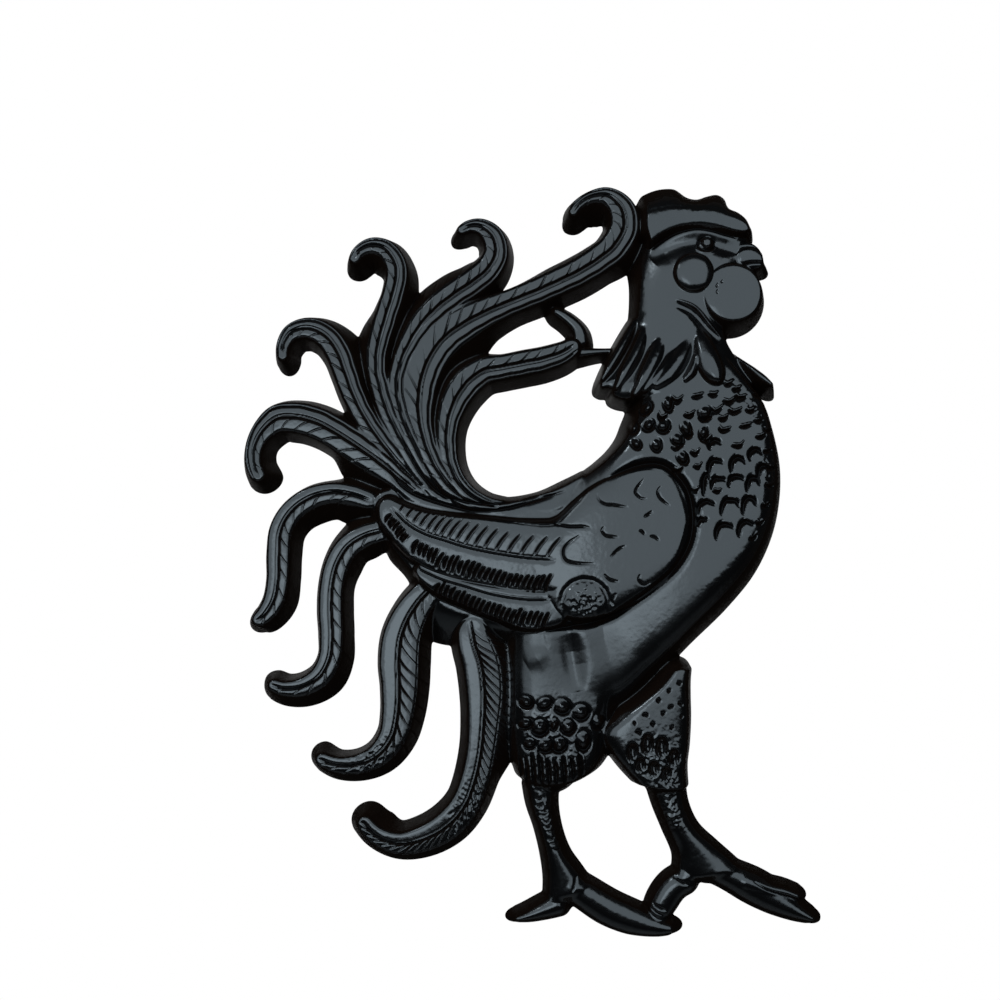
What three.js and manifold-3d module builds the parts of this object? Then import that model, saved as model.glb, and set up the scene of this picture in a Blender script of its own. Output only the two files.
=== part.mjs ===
// A rooster wall hanging: an openwork relief cast in metal, hollow at the back, on two ring hangers.
// Millimetres, +Z up. The wall is the plane y = 0 and the front faces -Y. The origin lies on the wall,
// midway between the two hooks that bear in the hanger rings. Points of the outline are measured from
// the middle of the body, [x, z] as seen from the front.
import * as THREE from 'three';
import { mergeVertices } from 'three/addons/utils/BufferGeometryUtils.js';
import Module from 'manifold-3d';

const wasm = await Module();
wasm.setup();

// Depths of the relief, from the wall to the raised faces
const TAIL_DEPTH = 16;
const TIE_DROP = 4; // of a tie between feathers, below their faces
const SICKLE_DEPTH = 14;
const SADDLE_DEPTH = 14;
const BREAST_DEPTH = 24;
const BREAST_ROUND = 9; // how much of the breast's depth is its swell
const WING_DEPTH = 22;
const WING_STEP = 2; // each layer of the wing over the one below
const SHOULDER_CROWN = 3;
const HEAD_DEPTH = 19;
const HEAD_ROUND = 6;
const COMB_DEPTH = 19;
const BEAK_DEPTH = 16.5;
const HACKLE_DEPTH = 25;
const THIGH_DEPTH = 17;
const THIGH_ROUND = 5;
const SHANK_DEPTH = 12;
const TOE_DEPTH = 11;
const LEG_ROUND = 3;

// How the casting leaves its mould, and its walls
const DRAFT = 3.6; // how far a side wall leans out between the face and the wall plane
const TOE_DRAFT = 2.8;
const END_DRAFT = 5; // the same at the end of a strip
const VANE_ROUND = 1.6; // drop from a feather's vanes to its edges
const SHAFT_GROOVE = 1.1;
const SHAFT_WIDTH = 1.8;
const WALL = 3.2;
const LEAST_HOLLOW = 3.6; // a strip narrower than this, each side of its middle, is cast solid
const PARTING = 0.3; // between neighbouring regions of the casting

// The two ring hangers, each a folded strap that is screwed to a pad in a pocket of the back
const HANGER_MIDDLE = 6; // across, from the middle of the body: over the centre of mass
const HANGER_SPREAD = 120; // between the two rings
const HANGER_HEIGHT = 82; // the rings' hinge lines above the middle of the body
const POCKET_WIDTH = 20;
const POCKET_DEPTH = 9.5; // behind a ring
const POCKET_ABOVE = 15; // above the hinge line
const PAD_WIDTH = 13;
const PAD_LEVEL = 6.4; // from the wall to the pad
const PAD_MARGIN = 2; // beyond the strap at both ends
const STRAP_WIDTH = 9;
const STRAP_THICKNESS = 1.2;
const STRAP_LENGTH = 27; // below the hinge line
const FOLD_LENGTH = 6.5; // of the strap's end, folded back below the hinge line
const WIRE_R = 1.2;
const RING_WIDTH = 14; // between the middles of the ring's straight sides
const RING_SIDE = 4; // from the hinge line up to where the round top begins
const RING_CORNER = 2;
const RING_CLEARANCE = 0.3;
const SCREW_R = 1.5;
const SCREW_HEAD_R = 2.8;
const SCREW_HEAD_HEIGHT = 1.4;
const SCREW_LENGTH = 5.5; // into the pad
const SCREW_CLEARANCE = 0.3;
const FIRST_SCREW = 11.5; // below the hinge line
const SCREW_PITCH = 10;
const SCREWS = 2; // in each strap
const SEAT_GAP = 0.25;

const STRIP_STEP = { longest: 15, turn: 0.4, inset: 0 }; // between the rings of a strip, in mm and radians
const HOLLOW_STEP = { longest: 26, turn: 0.6, inset: 5 };
const FINE_STEPS = 120; // in which a curve's length and turn are followed
const ROUND_SIDES = 20;
const SCREW_SIDES = 12;
const WIRE_SIDES = 8;
const RING_STEPS = 24;

const enamel = new THREE.MeshStandardMaterial({ color: 0x0c0c0d, roughness: 0.2, metalness: 0 });
const zinc = new THREE.MeshStandardMaterial({ color: 0xb9bcc0, roughness: 0.35, metalness: 1 });

// The outline

// A feather's rows run from its tip to its root: [x, z, half-width of the face], and where a side wall
// leans out more or less than the usual draft, the draft on the left and on the right as one walks it.
const TAIL_FEATHERS = [
  {
    name: 'tail_feather_1',
    rows: [
      [15.5, 146, 2, 3, 5], [18.5, 151, 2.4, 3.6, 7], [24.5, 155, 2.8, 3.6, 8], [33, 156, 4.2, 3.6, 8],
      [40, 150.5, 6.2], [42, 141, 7, 5.5, 3.6], [37, 131, 7, 5.5, 4], [29, 124.2, 6.7, 3.6, 5], [19, 118, 6.5, 3.6, 5.6],
      [9, 113.2, 6.3, 3.6, 5.6], [-2, 108.3, 6.2, 3.6, 4.6],
      [-14, 103.5, 6.2], [-26, 98.5, 7, 5, 3.6], [-37, 93, 8, 9, 3.6], [-47, 86, 8.5, 9, 3.6], [-54, 77, 8.5, 6, 3.6],
      [-58.5, 66, 8.3], [-60, 55, 7.5], [-59.5, 45, 6], [-57, 34, 5], [-52, 22, 4.5], [-44, 11, 4], [-34, 4, 3.4],
      [-22, 0.5, 2.8],
    ],
  },
  {
    name: 'tail_feather_2',
    rows: [
      [19, 83, 3.4], [12, 78.5, 5], [2, 75, 5.8], [-8, 73, 6], [-18, 71, 6], [-28, 69, 6.5, 3.6, 5], [-36, 63, 7, 3.6, 8],
      [-42, 54, 6.4, 3.6, 8], [-45.5, 43, 5.2, 3.6, 7], [-46, 32, 4.6], [-43.5, 21, 4.2], [-37, 12, 4], [-27, 6, 3.6], [-15, 4, 3],
    ],
    ties: [
      [[7, 100, 1.8], [14, 95.5, 2.4], [19.5, 89.5, 2.8], [20.5, 82, 3.4]],
      [[44, 79.5, 1.8, 1.8, 2], [32, 79.3, 1.6, 1.8, 2], [17, 78.5, 2.4]],
    ],
  },
  {
    name: 'tail_feather_3',
    rows: [
      [-40.5, 137.6, 2.2, 3.6, 2.6], [-35.5, 140.6, 3, 3.6, 2.6], [-29.4, 140.6, 4, 3.6, 3], [-24, 136.6, 5.2, 3, 3.6],
      [-21.5, 129, 5.8, 2.4, 4], [-24.5, 120.8, 6.2, 3, 5.4], [-32, 113.8, 6.4, 3.6, 7], [-41, 107.8, 6.4, 3.6, 8.5],
      [-50, 101, 6.2, 3.6, 9], [-58, 93, 5.6, 3.6, 9], [-64.5, 83, 4.8, 3.6, 7], [-69, 73, 4.2], [-71, 63, 4], [-70, 53, 4], [-67, 43, 3.8], [-62, 32, 3.6],
      [-55, 19, 3.4], [-46, 8, 3],
    ],
  },
  {
    name: 'tail_feather_4',
    rows: [
      [-93, 122.5, 2.4, 3.6, 5], [-90, 128, 3, 3.6, 7], [-83.5, 131.3, 3.8, 3.6, 7.5], [-76, 129, 4.6, 3.6, 7],
      [-71, 120, 5.2], [-72, 110, 5.2, 5, 3.6], [-75, 100, 5.2, 5, 4.6], [-78, 90, 5.2, 3.6, 7.5],
      [-80.5, 80, 4.8, 3.6, 9], [-81, 70, 4.5, 3.6, 6], [-79, 60, 4.5], [-76, 50, 4.5], [-71.5, 40, 4.2], [-66, 30, 4], [-59, 18, 3.6],
      [-50, 7, 3],
    ],
  },
  {
    name: 'tail_feather_5',
    rows: [
      [-127.3, 74, 2.4], [-127.5, 81, 3.2], [-123.5, 87.8, 4.2], [-116, 90.3, 5], [-107.5, 87.5, 5.7, 4.4, 3.6],
      [-101, 80, 6, 6.5, 3.6], [-97, 70, 5.8, 6.5, 3.6], [-93.5, 60, 5.5], [-89, 50, 5.2], [-83, 40, 5.2], [-76, 30.5, 5], [-67, 20, 4.4], [-56, 10, 3.6],
    ],
  },
  {
    name: 'tail_feather_6',
    rows: [
      [-138.6, 14.5, 3.4, 5, 6], [-142, 24, 3.8, 4.6, 4.6], [-141, 33, 4.4, 4.2, 3.6], [-136.4, 40.6, 5.6], [-130, 45.5, 6.8],
      [-120, 45.8, 7.4], [-110, 43, 7.6], [-100, 37.5, 7.6], [-90, 31, 7.6, 3.6, 9], [-80, 24, 6.8, 3.6, 10], [-69, 15, 5.4],
      [-58, 6, 4.4],
    ],
  },
];

const SICKLE_FEATHERS = [
  {
    name: 'sickle_feather_1',
    rows: [
      [-142.5, -56, 3], [-137.5, -52.5, 4, 3.6, 4.5], [-132.5, -45, 5, 3.6, 4.5], [-130.3, -34, 5.3], [-130, -22, 5.6],
      [-129, -10, 5.6, 3, 4.5], [-124, -0.8, 5.4, 2.6, 6], [-115, 6, 5.2, 2.6, 7.5], [-104, 9, 4.8, 2.6, 8],
      [-94, 8, 4.6, 6, 9.5], [-82, 4, 4, 8, 6],
    ],
  },
  {
    name: 'sickle_feather_2',
    rows: [
      [-135, -86, 2.8, 4, 6], [-127, -88.5, 3.6, 3, 6.5], [-118, -87.6, 4.4, 3, 6.5], [-109.5, -82.4, 5, 3, 6.5],
      [-104.7, -73.5, 5.4, 3, 5], [-103.5, -62, 5.7], [-104, -50, 5.9], [-103.5, -38, 5.8], [-101, -27, 5.8, 3.6, 5],
      [-95.5, -18, 5.6, 4.5, 5], [-87, -12.5, 5.2, 7, 6], [-74, -9, 5],
    ],
  },
  {
    name: 'sickle_feather_3',
    rows: [
      [-111.3, -122.8, 3.2, 4.5, 4.5], [-101, -126.4, 4, 2, 5.5], [-90, -126, 4.8, 2, 5.5], [-80.5, -121.5, 5.6, 2.6, 5.5],
      [-73.5, -112.5, 6.6, 3, 5], [-70.7, -101, 7.7, 3, 5], [-69.8, -88, 8.8, 3, 5], [-70, -76, 9.6, 3, 5],
      [-69, -64, 9.3, 3, 5], [-65.5, -54, 8.4, 3, 5], [-59, -44, 7], [-49, -34, 5],
    ],
  },
  {
    name: 'sickle_feather_4',
    rows: [
      [-89.5, -153, 3.4, 6, 5.4], [-81.5, -161.5, 4.2, 7, 5.6], [-70.5, -165.5, 5.2, 4, 5.6], [-58, -163.2, 6.2, 4, 5.6],
      [-46, -156.6, 7, 4, 5], [-37.5, -146.8, 7, 4, 4.4], [-32.5, -134, 6.8, 4.6, 5], [-29.5, -120, 6.8, 5, 10],
      [-28, -105, 7.6, 5, 11], [-27.5, -90, 8.8, 5, 8], [-29, -77, 9, 5, 8], [-32.5, -66, 8, 5, 8], [-35, -54, 6],
    ],
  },
];

// A broad form lies between two edges of its face, given by rows of [x, z] that lie opposite each other.
// A third number is the draft of the side wall there.
const SADDLE = {
  left: [[-84, 8], [-64, 12], [-42, 7], [-22, 2, 5], [-4, 4.5, 5], [12, 10, 5]],
  right: [[-81, -7, 6], [-74, -16, 8], [-63, -30, 7], [-50, -46, 19], [-30, -54, 16], [8, -64, 6]],
};
const BREAST = {
  left: [
    [4, 8, 5], [14, 12, 5], [23, 17, 5], [31, 22, 5], [37, 28, 5], [42, 35, 5], [45.5, 42, 5], [48, 49, 5], [49, 56, 5],
    [49, 64, 5],
  ],
  right: [
    [4, -74, 10], [22, -88, 14], [42, -79, 16], [60, -63, 15.5], [78, -46, 14], [95.5, -29, 12], [108, -10.5, 10.5],
    [114, 7, 9], [115, 27, 8], [111, 50, 7],
  ],
  sunk: [7, 3, 0, 0, 0, 0, 0],
};

// The wing in layers: flight feathers, coverts over them, and the round shoulder on top
const WING_LAYERS = [
  {
    left: [[-61, -27], [-50, -31], [-38, -35], [-22, -38], [-5, -40], [14, -40]],
    right: [[-61, -33], [-53, -40], [-38, -47], [-23, -53], [-7, -58.5], [14, -57]],
  },
  {
    left: [[-77, 8], [-68, 3], [-56, -1], [-42, -3], [-26, -4.5], [-8, -6], [12, -6]],
    right: [[-81, -4], [-74, -13], [-62, -25], [-46, -32], [-28, -36], [-8, -39], [14, -39]],
  },
  {
    left: [[-14, -9], [-2, -7], [8, -4.5], [16, 2.5], [26, 10.5], [38, 16.5], [50, 19], [61, 17], [69, 10], [72.5, 0]],
    right: [
      [-12, -17], [-4, -28], [4, -42], [12, -52], [27, -53], [42, -48], [54, -41], [64, -31.5], [70, -20], [73, -10],
    ],
    sunk: [6, 3.6, 1.6, 0.4, 0, 0, 0, 0, 0],
  },
];

const NECK = {
  left: [
    [49, 60, 5], [48, 76, 5], [49, 92, 5], [50, 104, 5], [51, 114, 6], [53, 122, 9], [56, 129, 11], [64, 135], [74, 138],
  ],
  right: [[108, 60], [97, 76], [91, 88], [92, 100], [98, 112], [102, 120], [103, 128], [103, 133], [100, 136]],
};
const COMB = {
  left: [
    [51, 149.5, 11], [57, 150.5, 13], [64, 151, 14], [70, 150.5, 13], [74.5, 150.2, 10], [79, 150.5, 10],
    [84.5, 151, 13], [90.5, 149.5, 10.5], [97.5, 147, 10.5], [102.3, 142, 10],
  ],
  right: [
    [55, 134], [59, 136], [64, 138], [70, 139.5], [75, 140.2], [80, 140.4], [85, 140], [91, 138], [96, 136.3],
    [101, 138],
  ],
};
const BEAK = {
  left: [[96, 136], [102, 135.8], [107.5, 134], [110.8, 129.5], [111.6, 126]],
  right: [[96, 119], [101, 119.6], [105, 120.4], [108, 121.6], [109.6, 122.6]],
};

// The hackle's locks fan out from the throat to a ragged hem
const HACKLE_ROOTS = [[49, 93], [57, 95.5], [66, 94], [76, 92], [85, 87.5]];
const HACKLE_TIPS = [[36, 66], [46.5, 60.5], [66, 62], [88, 62.5], [109, 62.5]];
const HACKLE_LOCKS = 7;
const LOCK_ROOT = 1.6; // half-width of a lock's face at its root
const LOCK_SPREAD = 4; // what it gains on the way down
const LOCK_CURVE = 2.2; // radians of a sine that its width follows

// Round forms on the head: the face's middle, its radius, depth and crown, and the draft below it
const ROUNDS = {
  ear: { x: 76, z: 116, radius: 8, depth: 23, crown: 1.4, draft: 2 },
  wattle: { x: 95.5, z: 107, radius: 13.6, depth: 20, crown: 1.6, draft: 5 },
  eye: { x: 83, z: 132, radius: 3, depth: 21, crown: 1.2, draft: 1 },
};

const LEFT_LEG = {
  thigh: {
    left: [[-11, -58, 6], [-11, -80, 8], [-11, -100, 8], [-10.5, -115, 7], [-9.5, -128, 4.6], [-7, -138]],
    right: [[30, -60], [33, -80, 6], [31, -98, 9], [28, -112, 10], [24.5, -125, 5.5], [16, -138]],
  },
  shank: {
    left: [[-6.5, -134], [-4, -148], [0, -160], [3, -172], [4.6, -184], [4, -198]],
    right: [[6.5, -134], [6, -148], [8, -160], [12, -171], [18, -180], [25, -190]],
  },
  toes: [
    [[-13, -204.2, 1.4], [-6, -202.6, 3], [3, -199.6, 4.6], [13, -196, 5.8]],
    [[67.5, -209.2, 2.6], [59, -208.6, 4.6], [48, -205.8, 6.4], [35, -200.5, 7], [23, -193, 6.6], [12, -186, 6]],
  ],
};
const RIGHT_LEG = {
  thigh: {
    left: [[53, -86, 10], [42, -98, 10], [34, -110, 10], [38, -121, 4], [43, -129, 4], [55, -137]],
    right: [[72, -78], [72.5, -90], [73, -104], [72.5, -116], [69, -126], [69, -138]],
  },
  shank: {
    left: [[55, -132], [60, -148], [65, -160], [70, -172], [70, -181], [72, -186]],
    right: [[70, -132], [72, -147], [77, -158], [86, -167], [94, -174], [102, -181]],
  },
  toes: [
    [[138, -204.8, 1.8], [130, -201.2, 4], [119, -195.5, 6.2], [108, -189.5, 7], [96, -183.5, 6], [86, -179, 5.5]],
    [[130.5, -193.4, 2.2], [122, -190.4, 2.6], [112, -188.4, 3], [100, -184.6, 4]],
    [[59, -204.5, 5], [61.5, -197.5, 6], [67.5, -189, 6.2], [77.5, -183.5, 6]],
  ],
};

// Sections across a face: [share of the way across, share of the rise in the middle]
const DOME = [[0, 0], [0.14, 0.55], [0.5, 1], [0.86, 0.55], [1, 0]];
const ROUNDED = [[0, 0], [0.25, 0.8], [0.5, 1], [0.75, 0.8], [1, 0]];
const COMB_SECTION = [[0, 0], [0.12, 0.8], [0.6, 1], [0.9, 0.8], [1, 0]];
const RIDGE = [[0, 0], [0.5, 1], [1, 0]];

/** Across a feather: edge, rounded vane and the groove along its shaft. */
function featherSection(rows) {
  const groove = SHAFT_GROOVE / VANE_ROUND;
  const share = SHAFT_WIDTH / 4 / Math.max(...rows.map((row) => row[2]));
  return [[0, 0], [0.2, 0.85], [0.5 - share, 1], [0.5, 1 - groove], [0.5 + share, 1], [0.8, 0.85], [1, 0]];
}

// Solids

function solidOf(geometry) {
  geometry.deleteAttribute('normal');
  geometry.deleteAttribute('uv');
  const merged = mergeVertices(geometry, 1e-4);
  const triVerts = Uint32Array.from(merged.index.array);
  const vertProperties = Float32Array.from(merged.attributes.position.array);
  const solid = new wasm.Manifold(new wasm.Mesh({ numProp: 3, vertProperties, triVerts }));
  if (solid.volume() > 0) return solid;
  return new wasm.Manifold(new wasm.Mesh({ numProp: 3, vertProperties, triVerts: turnedOver(triVerts) }));
}

function turnedOver(triVerts) {
  for (let i = 0; i < triVerts.length; i += 3) [triVerts[i], triVerts[i + 1]] = [triVerts[i + 1], triVerts[i]];
  return triVerts;
}

function meshOf(solid, name, material) {
  const { vertProperties, triVerts } = solid.getMesh();
  const geometry = new THREE.BufferGeometry();
  geometry.setAttribute('position', new THREE.BufferAttribute(vertProperties, 3));
  geometry.setIndex(new THREE.BufferAttribute(triVerts, 1));
  geometry.computeVertexNormals();
  const mesh = new THREE.Mesh(geometry, material);
  mesh.name = name;
  return mesh;
}

const union = (solids) => solids.reduce((whole, solid) => whole.add(solid));

/** The largest body of a solid, without the slivers that a cut leaves. */
const mainBody = (solid) => solid.decompose().reduce((a, b) => (a.volume() > b.volume() ? a : b));

/** A solid through rings that all have the same number of points: capped at both ends, or closed on itself. */
function loft(rings, closed = false) {
  const count = rings[0].length;
  const vertices = rings.flat();
  const index = [];
  for (let i = 0; i < rings.length - (closed ? 0 : 1); i++) {
    const next = (i + 1) % rings.length;
    for (let j = 0; j < count; j++) {
      const k = (j + 1) % count;
      const [a, b, c, d] = [i * count + j, i * count + k, next * count + k, next * count + j];
      index.push(a, b, c, a, c, d);
    }
  }
  for (const first of closed ? [] : [0, (rings.length - 1) * count]) {
    const middle = new THREE.Vector3();
    for (let j = 0; j < count; j++) middle.addScaledVector(vertices[first + j], 1 / count);
    vertices.push(middle);
    for (let j = 0; j < count; j++) {
      const [a, b] = [first + j, first + ((j + 1) % count)];
      index.push(...(first ? [a, b, vertices.length - 1] : [b, a, vertices.length - 1]));
    }
  }
  const geometry = new THREE.BufferGeometry().setFromPoints(vertices);
  geometry.setIndex(index);
  return solidOf(geometry);
}

/** A box between two corners. */
function boxOf([x0, y0, z0], [x1, y1, z1]) {
  const box = new THREE.BoxGeometry(x1 - x0, y1 - y0, z1 - z0);
  return solidOf(box.translate((x0 + x1) / 2, (y0 + y1) / 2, (z0 + z1) / 2));
}

/** A form turned about the Y axis, from rows of [radius, y]. */
const turned = (profile, sides) => new THREE.LatheGeometry(profile.map((row) => new THREE.Vector2(...row)), sides);

// Strips in relief

const smooth = (rows) => new THREE.CatmullRomCurve3(rows.map((row) => new THREE.Vector3(...row)));

/** Shares of the way along a curve, from one inset to the other, closer where it turns. */
function sharesAlong(curve, { longest, turn, inset }) {
  const first = inset / curve.getLength();
  const shares = [first];
  let [from, way] = [curve.getPoint(first), curve.getTangent(first)];
  for (let i = 1; i < FINE_STEPS; i++) {
    const share = first + (i / FINE_STEPS) * (1 - 2 * first);
    const [p, onward] = [curve.getPoint(share), curve.getTangent(share)];
    if (p.distanceTo(from) < longest && onward.angleTo(way) < turn) continue;
    shares.push(share);
    [from, way] = [p, onward];
  }
  if (shares.length > 2 && from.distanceTo(curve.getPoint(1 - first)) < longest / 4) shares.pop();
  return [...shares, 1 - first];
}

/** A strip between two edges of its face. A station has both edges, in x and z, and how they slope off. */
function stripBetween({ left, right, sunk = [0, 0] }, draft = DRAFT) {
  const edges = [left, right].map((rows) => smooth(rows.map(([x, z, own]) => [x, z, own ?? draft])));
  const longer = edges[0].getLength() > edges[1].getLength() ? edges[0] : edges[1];
  const level = smooth(sunk.map((drop, i) => [drop, 0, i]));
  return (step) => sharesAlong(longer, step).map((share) => {
    const [l, r] = edges.map((edge) => edge.getPoint(share));
    return {
      left: new THREE.Vector2(l.x, l.y),
      right: new THREE.Vector2(r.x, r.y),
      drafts: [l.z, r.z],
      drop: Math.max(0, level.getPoint(share).x),
    };
  });
}

/** A strip along a shaft. */
function stripAlong(rows, draft = DRAFT) {
  const shaft = smooth(rows.map(([x, z, half]) => [x, z, half]));
  const sides = smooth(rows.map(([, , , left, right], i) => [left ?? draft, right ?? draft, i]));
  return (step) => sharesAlong(shaft, step).map((share) => {
    const [p, way, side] = [shaft.getPoint(share), shaft.getTangent(share), sides.getPoint(share)];
    const across = new THREE.Vector2(-way.y, way.x).setLength(p.z);
    const middle = new THREE.Vector2(p.x, p.y);
    return {
      left: middle.clone().add(across),
      right: middle.clone().sub(across),
      drafts: [side.x, side.y],
      drop: 0,
    };
  });
}

const at = (p, y) => new THREE.Vector3(p.x, y, p.y);

/** The ring at a station: foot, points of the face, foot. A grown ring cuts a neighbour back. */
function ringAt({ left, right, drafts, drop }, { section, depth, rise }, grow = 0) {
  const out = right.clone().sub(left).normalize();
  const spread = 1 + (2 * grow) / (depth - drop); // keeps a grown side wall parallel
  const [l, r] = [left.clone().addScaledVector(out, -grow), right.clone().addScaledVector(out, grow)];
  const face = section.map(([share, lift]) => at(l.clone().lerp(r, share), drop - depth - lift * rise - grow));
  const feet = [l.addScaledVector(out, -spread * drafts[0]), r.addScaledVector(out, spread * drafts[1])];
  return [at(feet[0], grow), ...face, at(feet[1], grow)];
}

/** Two rings beyond the last one, drawn in and sunk, so that a strip ends in a rounded slope. */
function endRings(ring, before, grow) {
  const middleOf = (points) => points[0].clone().lerp(points.at(-1), 0.5);
  const middle = middleOf(ring);
  const way = middle.clone().sub(middleOf(before)).normalize();
  return [[0.6, 0.22, 0.5], [1, 0.55, 0.08]].map(([reach, narrow, height]) => ring.map((p) => {
    const q = p.clone().lerp(new THREE.Vector3(middle.x, p.y, middle.z), narrow);
    if (q.y < 0) q.y *= height;
    return q.addScaledVector(way, reach * END_DRAFT + grow);
  }));
}

function relief(strip, face, grow = 0) {
  const rings = strip(STRIP_STEP).map((station) => ringAt(station, face, grow));
  const start = endRings(rings[0], rings[1], grow).reverse();
  return loft([...start, ...rings, ...endRings(rings.at(-1), rings.at(-2), grow)]);
}

/** What is taken out behind a strip: its form less the walls, open to the wall plane. */
function hollowBehind(strip, { depth, rise }) {
  const inner = strip(HOLLOW_STEP).flatMap((station) => {
    const half = station.left.distanceTo(station.right) / 2;
    if (half < LEAST_HOLLOW) return [];
    const inset = Math.min(WALL, half - 0.6) / (2 * half);
    const left = station.left.clone().lerp(station.right, inset);
    const right = station.right.clone().lerp(station.left, inset);
    return [{ left, right, drafts: station.drafts.map((draft) => Math.min(draft, DRAFT)), drop: station.drop }];
  });
  const face = { section: RIDGE, depth: depth - WALL, rise };
  return loft(inner.map((station) => ringAt(station, face).map((p) => (p.y === 0 ? p.setY(1) : p))));
}

/** A form of the casting: its solid, the same grown to part its neighbours, and the hollow behind it. */
function formOf(strip, face, hollow = true) {
  const parts = { solid: relief(strip, face), cutter: relief(strip, face, PARTING) };
  return hollow ? { ...parts, hollow: hollowBehind(strip, face) } : parts;
}

/** A round form on the head. */
function roundForm({ x, z, radius, depth, crown, draft }) {
  const [solid, cutter] = [0, PARTING].map((grow) => {
    const profile = [
      [0, grow],
      [radius + draft + grow, grow],
      [radius + grow, crown - depth - grow],
      [0.7 * radius, 0.25 * crown - depth - grow],
      [0, -depth - grow],
    ];
    return solidOf(turned(profile, ROUND_SIDES).translate(x, 0, z));
  });
  return { solid, cutter };
}

// Regions of the casting, each a list of forms

const feather = ({ rows, ties = [] }, depth) => [
  formOf(stripAlong(rows), { section: featherSection(rows), depth: depth - VANE_ROUND, rise: VANE_ROUND }),
  ...ties.map((tie) => formOf(stripAlong(tie), { section: ROUNDED, depth: depth - TIE_DROP, rise: 1 }, false)),
];

const saddle = () => formOf(stripBetween(SADDLE), { section: DOME, depth: SADDLE_DEPTH - 1, rise: 1 });

function body() {
  const breast = { section: DOME, depth: BREAST_DEPTH - BREAST_ROUND, rise: BREAST_ROUND };
  const layers = WING_LAYERS.map((layer, i) => {
    const rise = layer.sunk ? SHOULDER_CROWN : 1;
    return formOf(stripBetween(layer), { section: ROUNDED, depth: WING_DEPTH + i * WING_STEP - 1, rise });
  });
  return [formOf(stripBetween(BREAST), breast), ...layers];
}

function hackleLocks() {
  const [roots, tips] = [HACKLE_ROOTS, HACKLE_TIPS].map((rows) => smooth(rows.map(([x, z]) => [x, z, 0])));
  return Array.from({ length: HACKLE_LOCKS }, (_, i) => {
    const share = i / (HACKLE_LOCKS - 1);
    const [root, tip] = [roots.getPoint(share), tips.getPoint(share)];
    const rows = [1, 0.75, 0.5, 0.25, 0].map((down) => {
      const x = root.x + (tip.x - root.x) * down ** (1 + 0.5 * Math.abs(2 * share - 1));
      return [x, root.y + (tip.y - root.y) * down, LOCK_ROOT + LOCK_SPREAD * Math.sin(LOCK_CURVE * down)];
    });
    return formOf(stripAlong(rows), { section: ROUNDED, depth: HACKLE_DEPTH - 2, rise: 2 }, false);
  });
}

function head() {
  return [
    formOf(stripBetween(NECK), { section: DOME, depth: HEAD_DEPTH - HEAD_ROUND, rise: HEAD_ROUND }),
    formOf(stripBetween(COMB), { section: COMB_SECTION, depth: COMB_DEPTH - 1.5, rise: 1.5 }),
    formOf(stripBetween(BEAK, TOE_DRAFT), { section: ROUNDED, depth: BEAK_DEPTH - 2.5, rise: 2.5 }, false),
    ...Object.values(ROUNDS).map(roundForm),
    ...hackleLocks(),
  ];
}

function leg({ thigh, shank, toes }) {
  const toe = { section: ROUNDED, depth: TOE_DEPTH - LEG_ROUND, rise: LEG_ROUND };
  return [
    formOf(stripBetween(thigh), { section: DOME, depth: THIGH_DEPTH - THIGH_ROUND, rise: THIGH_ROUND }),
    formOf(stripBetween(shank), { section: ROUNDED, depth: SHANK_DEPTH - LEG_ROUND, rise: LEG_ROUND }, false),
    ...toes.map((rows) => formOf(stripAlong(rows, TOE_DRAFT), toe, false)),
  ];
}

// The hangers, in a frame whose X axis is the ring's hinge line

const HINGE_R = WIRE_R + RING_CLEARANCE; // of the strap's eye
const EYE_R = HINGE_R + STRAP_THICKNESS;
const HINGE_DEPTH = PAD_LEVEL - SEAT_GAP - EYE_R; // the hinge line from the wall
const RING_REACH = RING_SIDE + RING_WIDTH / 2 - WIRE_R; // from the hinge line to where a hook bears
const STRAP_BACK = STRAP_THICKNESS - EYE_R; // the strap's back face
const SCREW_TIP = -EYE_R - SEAT_GAP - SCREW_LENGTH;

const screwLevels = () => Array.from({ length: SCREWS }, (_, i) => -FIRST_SCREW - i * SCREW_PITCH);

/** A folded strip: its side profile through its width, cut to a round end and drilled for the screws. */
function strap() {
  const foldBack = STRAP_BACK + STRAP_THICKNESS;
  const profile = new THREE.Shape();
  profile.moveTo(-EYE_R, -STRAP_LENGTH);
  profile.lineTo(-EYE_R, 0);
  profile.absarc(0, 0, EYE_R, Math.PI, -Math.acos(foldBack / EYE_R), true);
  profile.lineTo(foldBack, -FOLD_LENGTH);
  profile.lineTo(STRAP_BACK, -FOLD_LENGTH);
  profile.lineTo(STRAP_BACK, -STRAP_LENGTH);
  profile.holes.push(new THREE.Path().absarc(0, 0, HINGE_R, 0, 2 * Math.PI));
  const folded = new THREE.ExtrudeGeometry(profile, { depth: STRAP_WIDTH, bevelEnabled: false, curveSegments: 8 });
  folded.translate(0, 0, -STRAP_WIDTH / 2);
  folded.applyMatrix4(new THREE.Matrix4().set(0, 0, 1, 0, 1, 0, 0, 0, 0, 1, 0, 0, 0, 0, 0, 1));

  const half = STRAP_WIDTH / 2;
  const outline = new THREE.Shape();
  outline.moveTo(-half, 2 * EYE_R);
  outline.lineTo(-half, half - STRAP_LENGTH);
  outline.absarc(0, half - STRAP_LENGTH, half, Math.PI, 2 * Math.PI, false);
  outline.lineTo(half, 2 * EYE_R);
  const rounded = new THREE.ExtrudeGeometry(outline, { depth: 4 * EYE_R, bevelEnabled: false, curveSegments: 6 });
  rounded.translate(0, 0, -2 * EYE_R).rotateX(Math.PI / 2);

  return solidOf(folded).intersect(solidOf(rounded)).subtract(screwHoles(-2 * EYE_R));
}

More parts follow.
